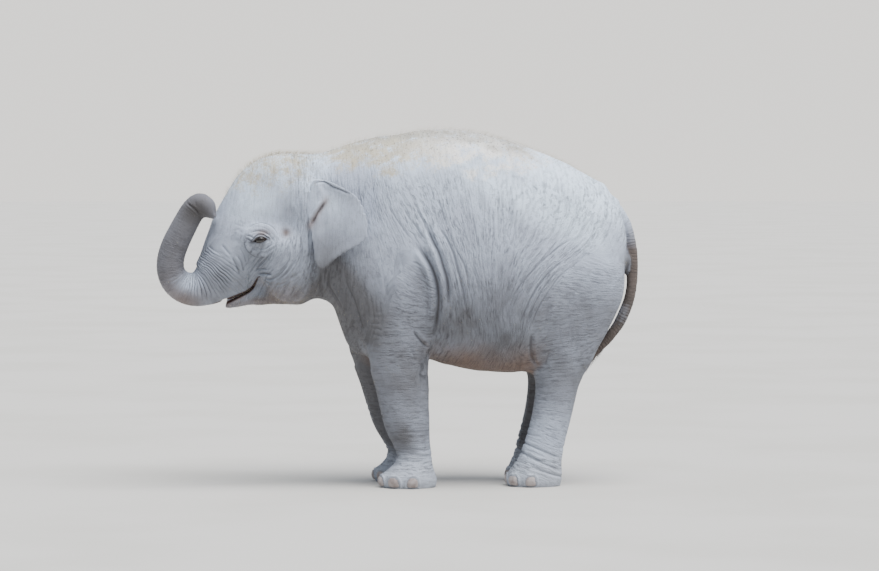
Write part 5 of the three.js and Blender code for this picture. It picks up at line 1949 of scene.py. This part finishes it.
@dataclass
class Studio:
    """A plain pale floor, soft light from above and the camera."""

    floor_radius: float = 90.0
    eye_level: tuple[float, float, float] = (-1.492, -15.912, 1.450)
    turn: float = 6.0
    dip: float = 2.1
    lens: float = 150.7
    low_sky: Rgba = (0.13, 0.14, 0.155, 1.0)
    high_sky: Rgba = (0.72, 0.80, 0.92, 1.0)
    backdrop: Rgba = (1.40, 1.37, 1.32, 1.0)

    def build(self) -> None:
        """Makes floor, world, lights and camera."""
        self.floor()
        self.world()
        self.light("light_above", (0.9, -1.15, 3.6), 7.0, 52.0)
        self.camera()

    def floor(self) -> None:
        """Makes the floor."""
        deselect_all()
        bpy.ops.mesh.primitive_circle_add(vertices=96, radius=self.floor_radius, fill_type="NGON")
        obj = primitive("floor")
        obj.data.materials.append(FloorFinish().material())

    def world(self) -> None:
        """Makes the light of a pale sky, brightest overhead, and an even backdrop for the camera."""
        world = bpy.data.worlds.new("pale_sky")
        bpy.context.scene.world = world
        world.use_nodes = True
        nodes = Nodes(world.node_tree)
        way = nodes.add("ShaderNodeSeparateXYZ", {0: nodes.add("ShaderNodeTexCoord").outputs["Generated"]})
        sky = nodes.mix(nodes.step(way.outputs["Z"], 0.05, 0.85), self.low_sky, self.high_sky)
        seen = nodes.add("ShaderNodeLightPath").outputs["Is Camera Ray"]
        background = nodes.add("ShaderNodeBackground", {"Color": nodes.mix(seen, sky, self.backdrop)})
        nodes.add("ShaderNodeOutputWorld", {"Surface": background.outputs["Background"]})

    def light(self, name: str, place: Sequence[float], strength: float, softness: float) -> None:
        """Hangs a soft, distant lamp.

        Args:
            name: Its name.
            place: Where it shines from, towards the middle of the floor.
            strength: Its power on each square metre.
            softness: How wide it looks, in degrees.
        """
        lamp = bpy.data.lights.new(name, "SUN")
        lamp.energy = strength
        lamp.angle = math.radians(softness)
        obj = bpy.data.objects.new(name, lamp)
        obj.location = place
        obj.rotation_euler = (-Vector(place)).to_track_quat("-Z", "Y").to_euler()
        bpy.context.scene.collection.objects.link(obj)

    def camera(self) -> None:
        """Sets up the camera."""
        data = bpy.data.cameras.new("camera")
        data.lens = self.lens
        data.sensor_width = SENSOR
        data.clip_end = FAR_CLIP
        obj = bpy.data.objects.new("camera", data)
        obj.location = self.eye_level
        turn, dip = math.radians(self.turn), math.radians(self.dip)
        aim = Vector((math.sin(turn) * math.cos(dip), math.cos(turn) * math.cos(dip), -math.sin(dip)))
        obj.rotation_euler = aim.to_track_quat("-Z", "Y").to_euler()
        bpy.context.scene.collection.objects.link(obj)
        bpy.context.scene.camera = obj


def main() -> None:
    """Builds the animal and its surroundings."""
    logging.basicConfig(level=logging.INFO, format="%(relativeCreated)6d ms %(message)s")
    Studio().build()
    skin = Skin()
    hide = skin.build()
    for side, axes in skin.eye_frames.items():
        Eyeball(side, axes, skin.eye).build()
    Nails().build()
    TailTuft().build()
    Lashes(skin.eye).build(skin.eye_frames)
    Bristles().build(hide)


if __name__ == "__main__":
    main()
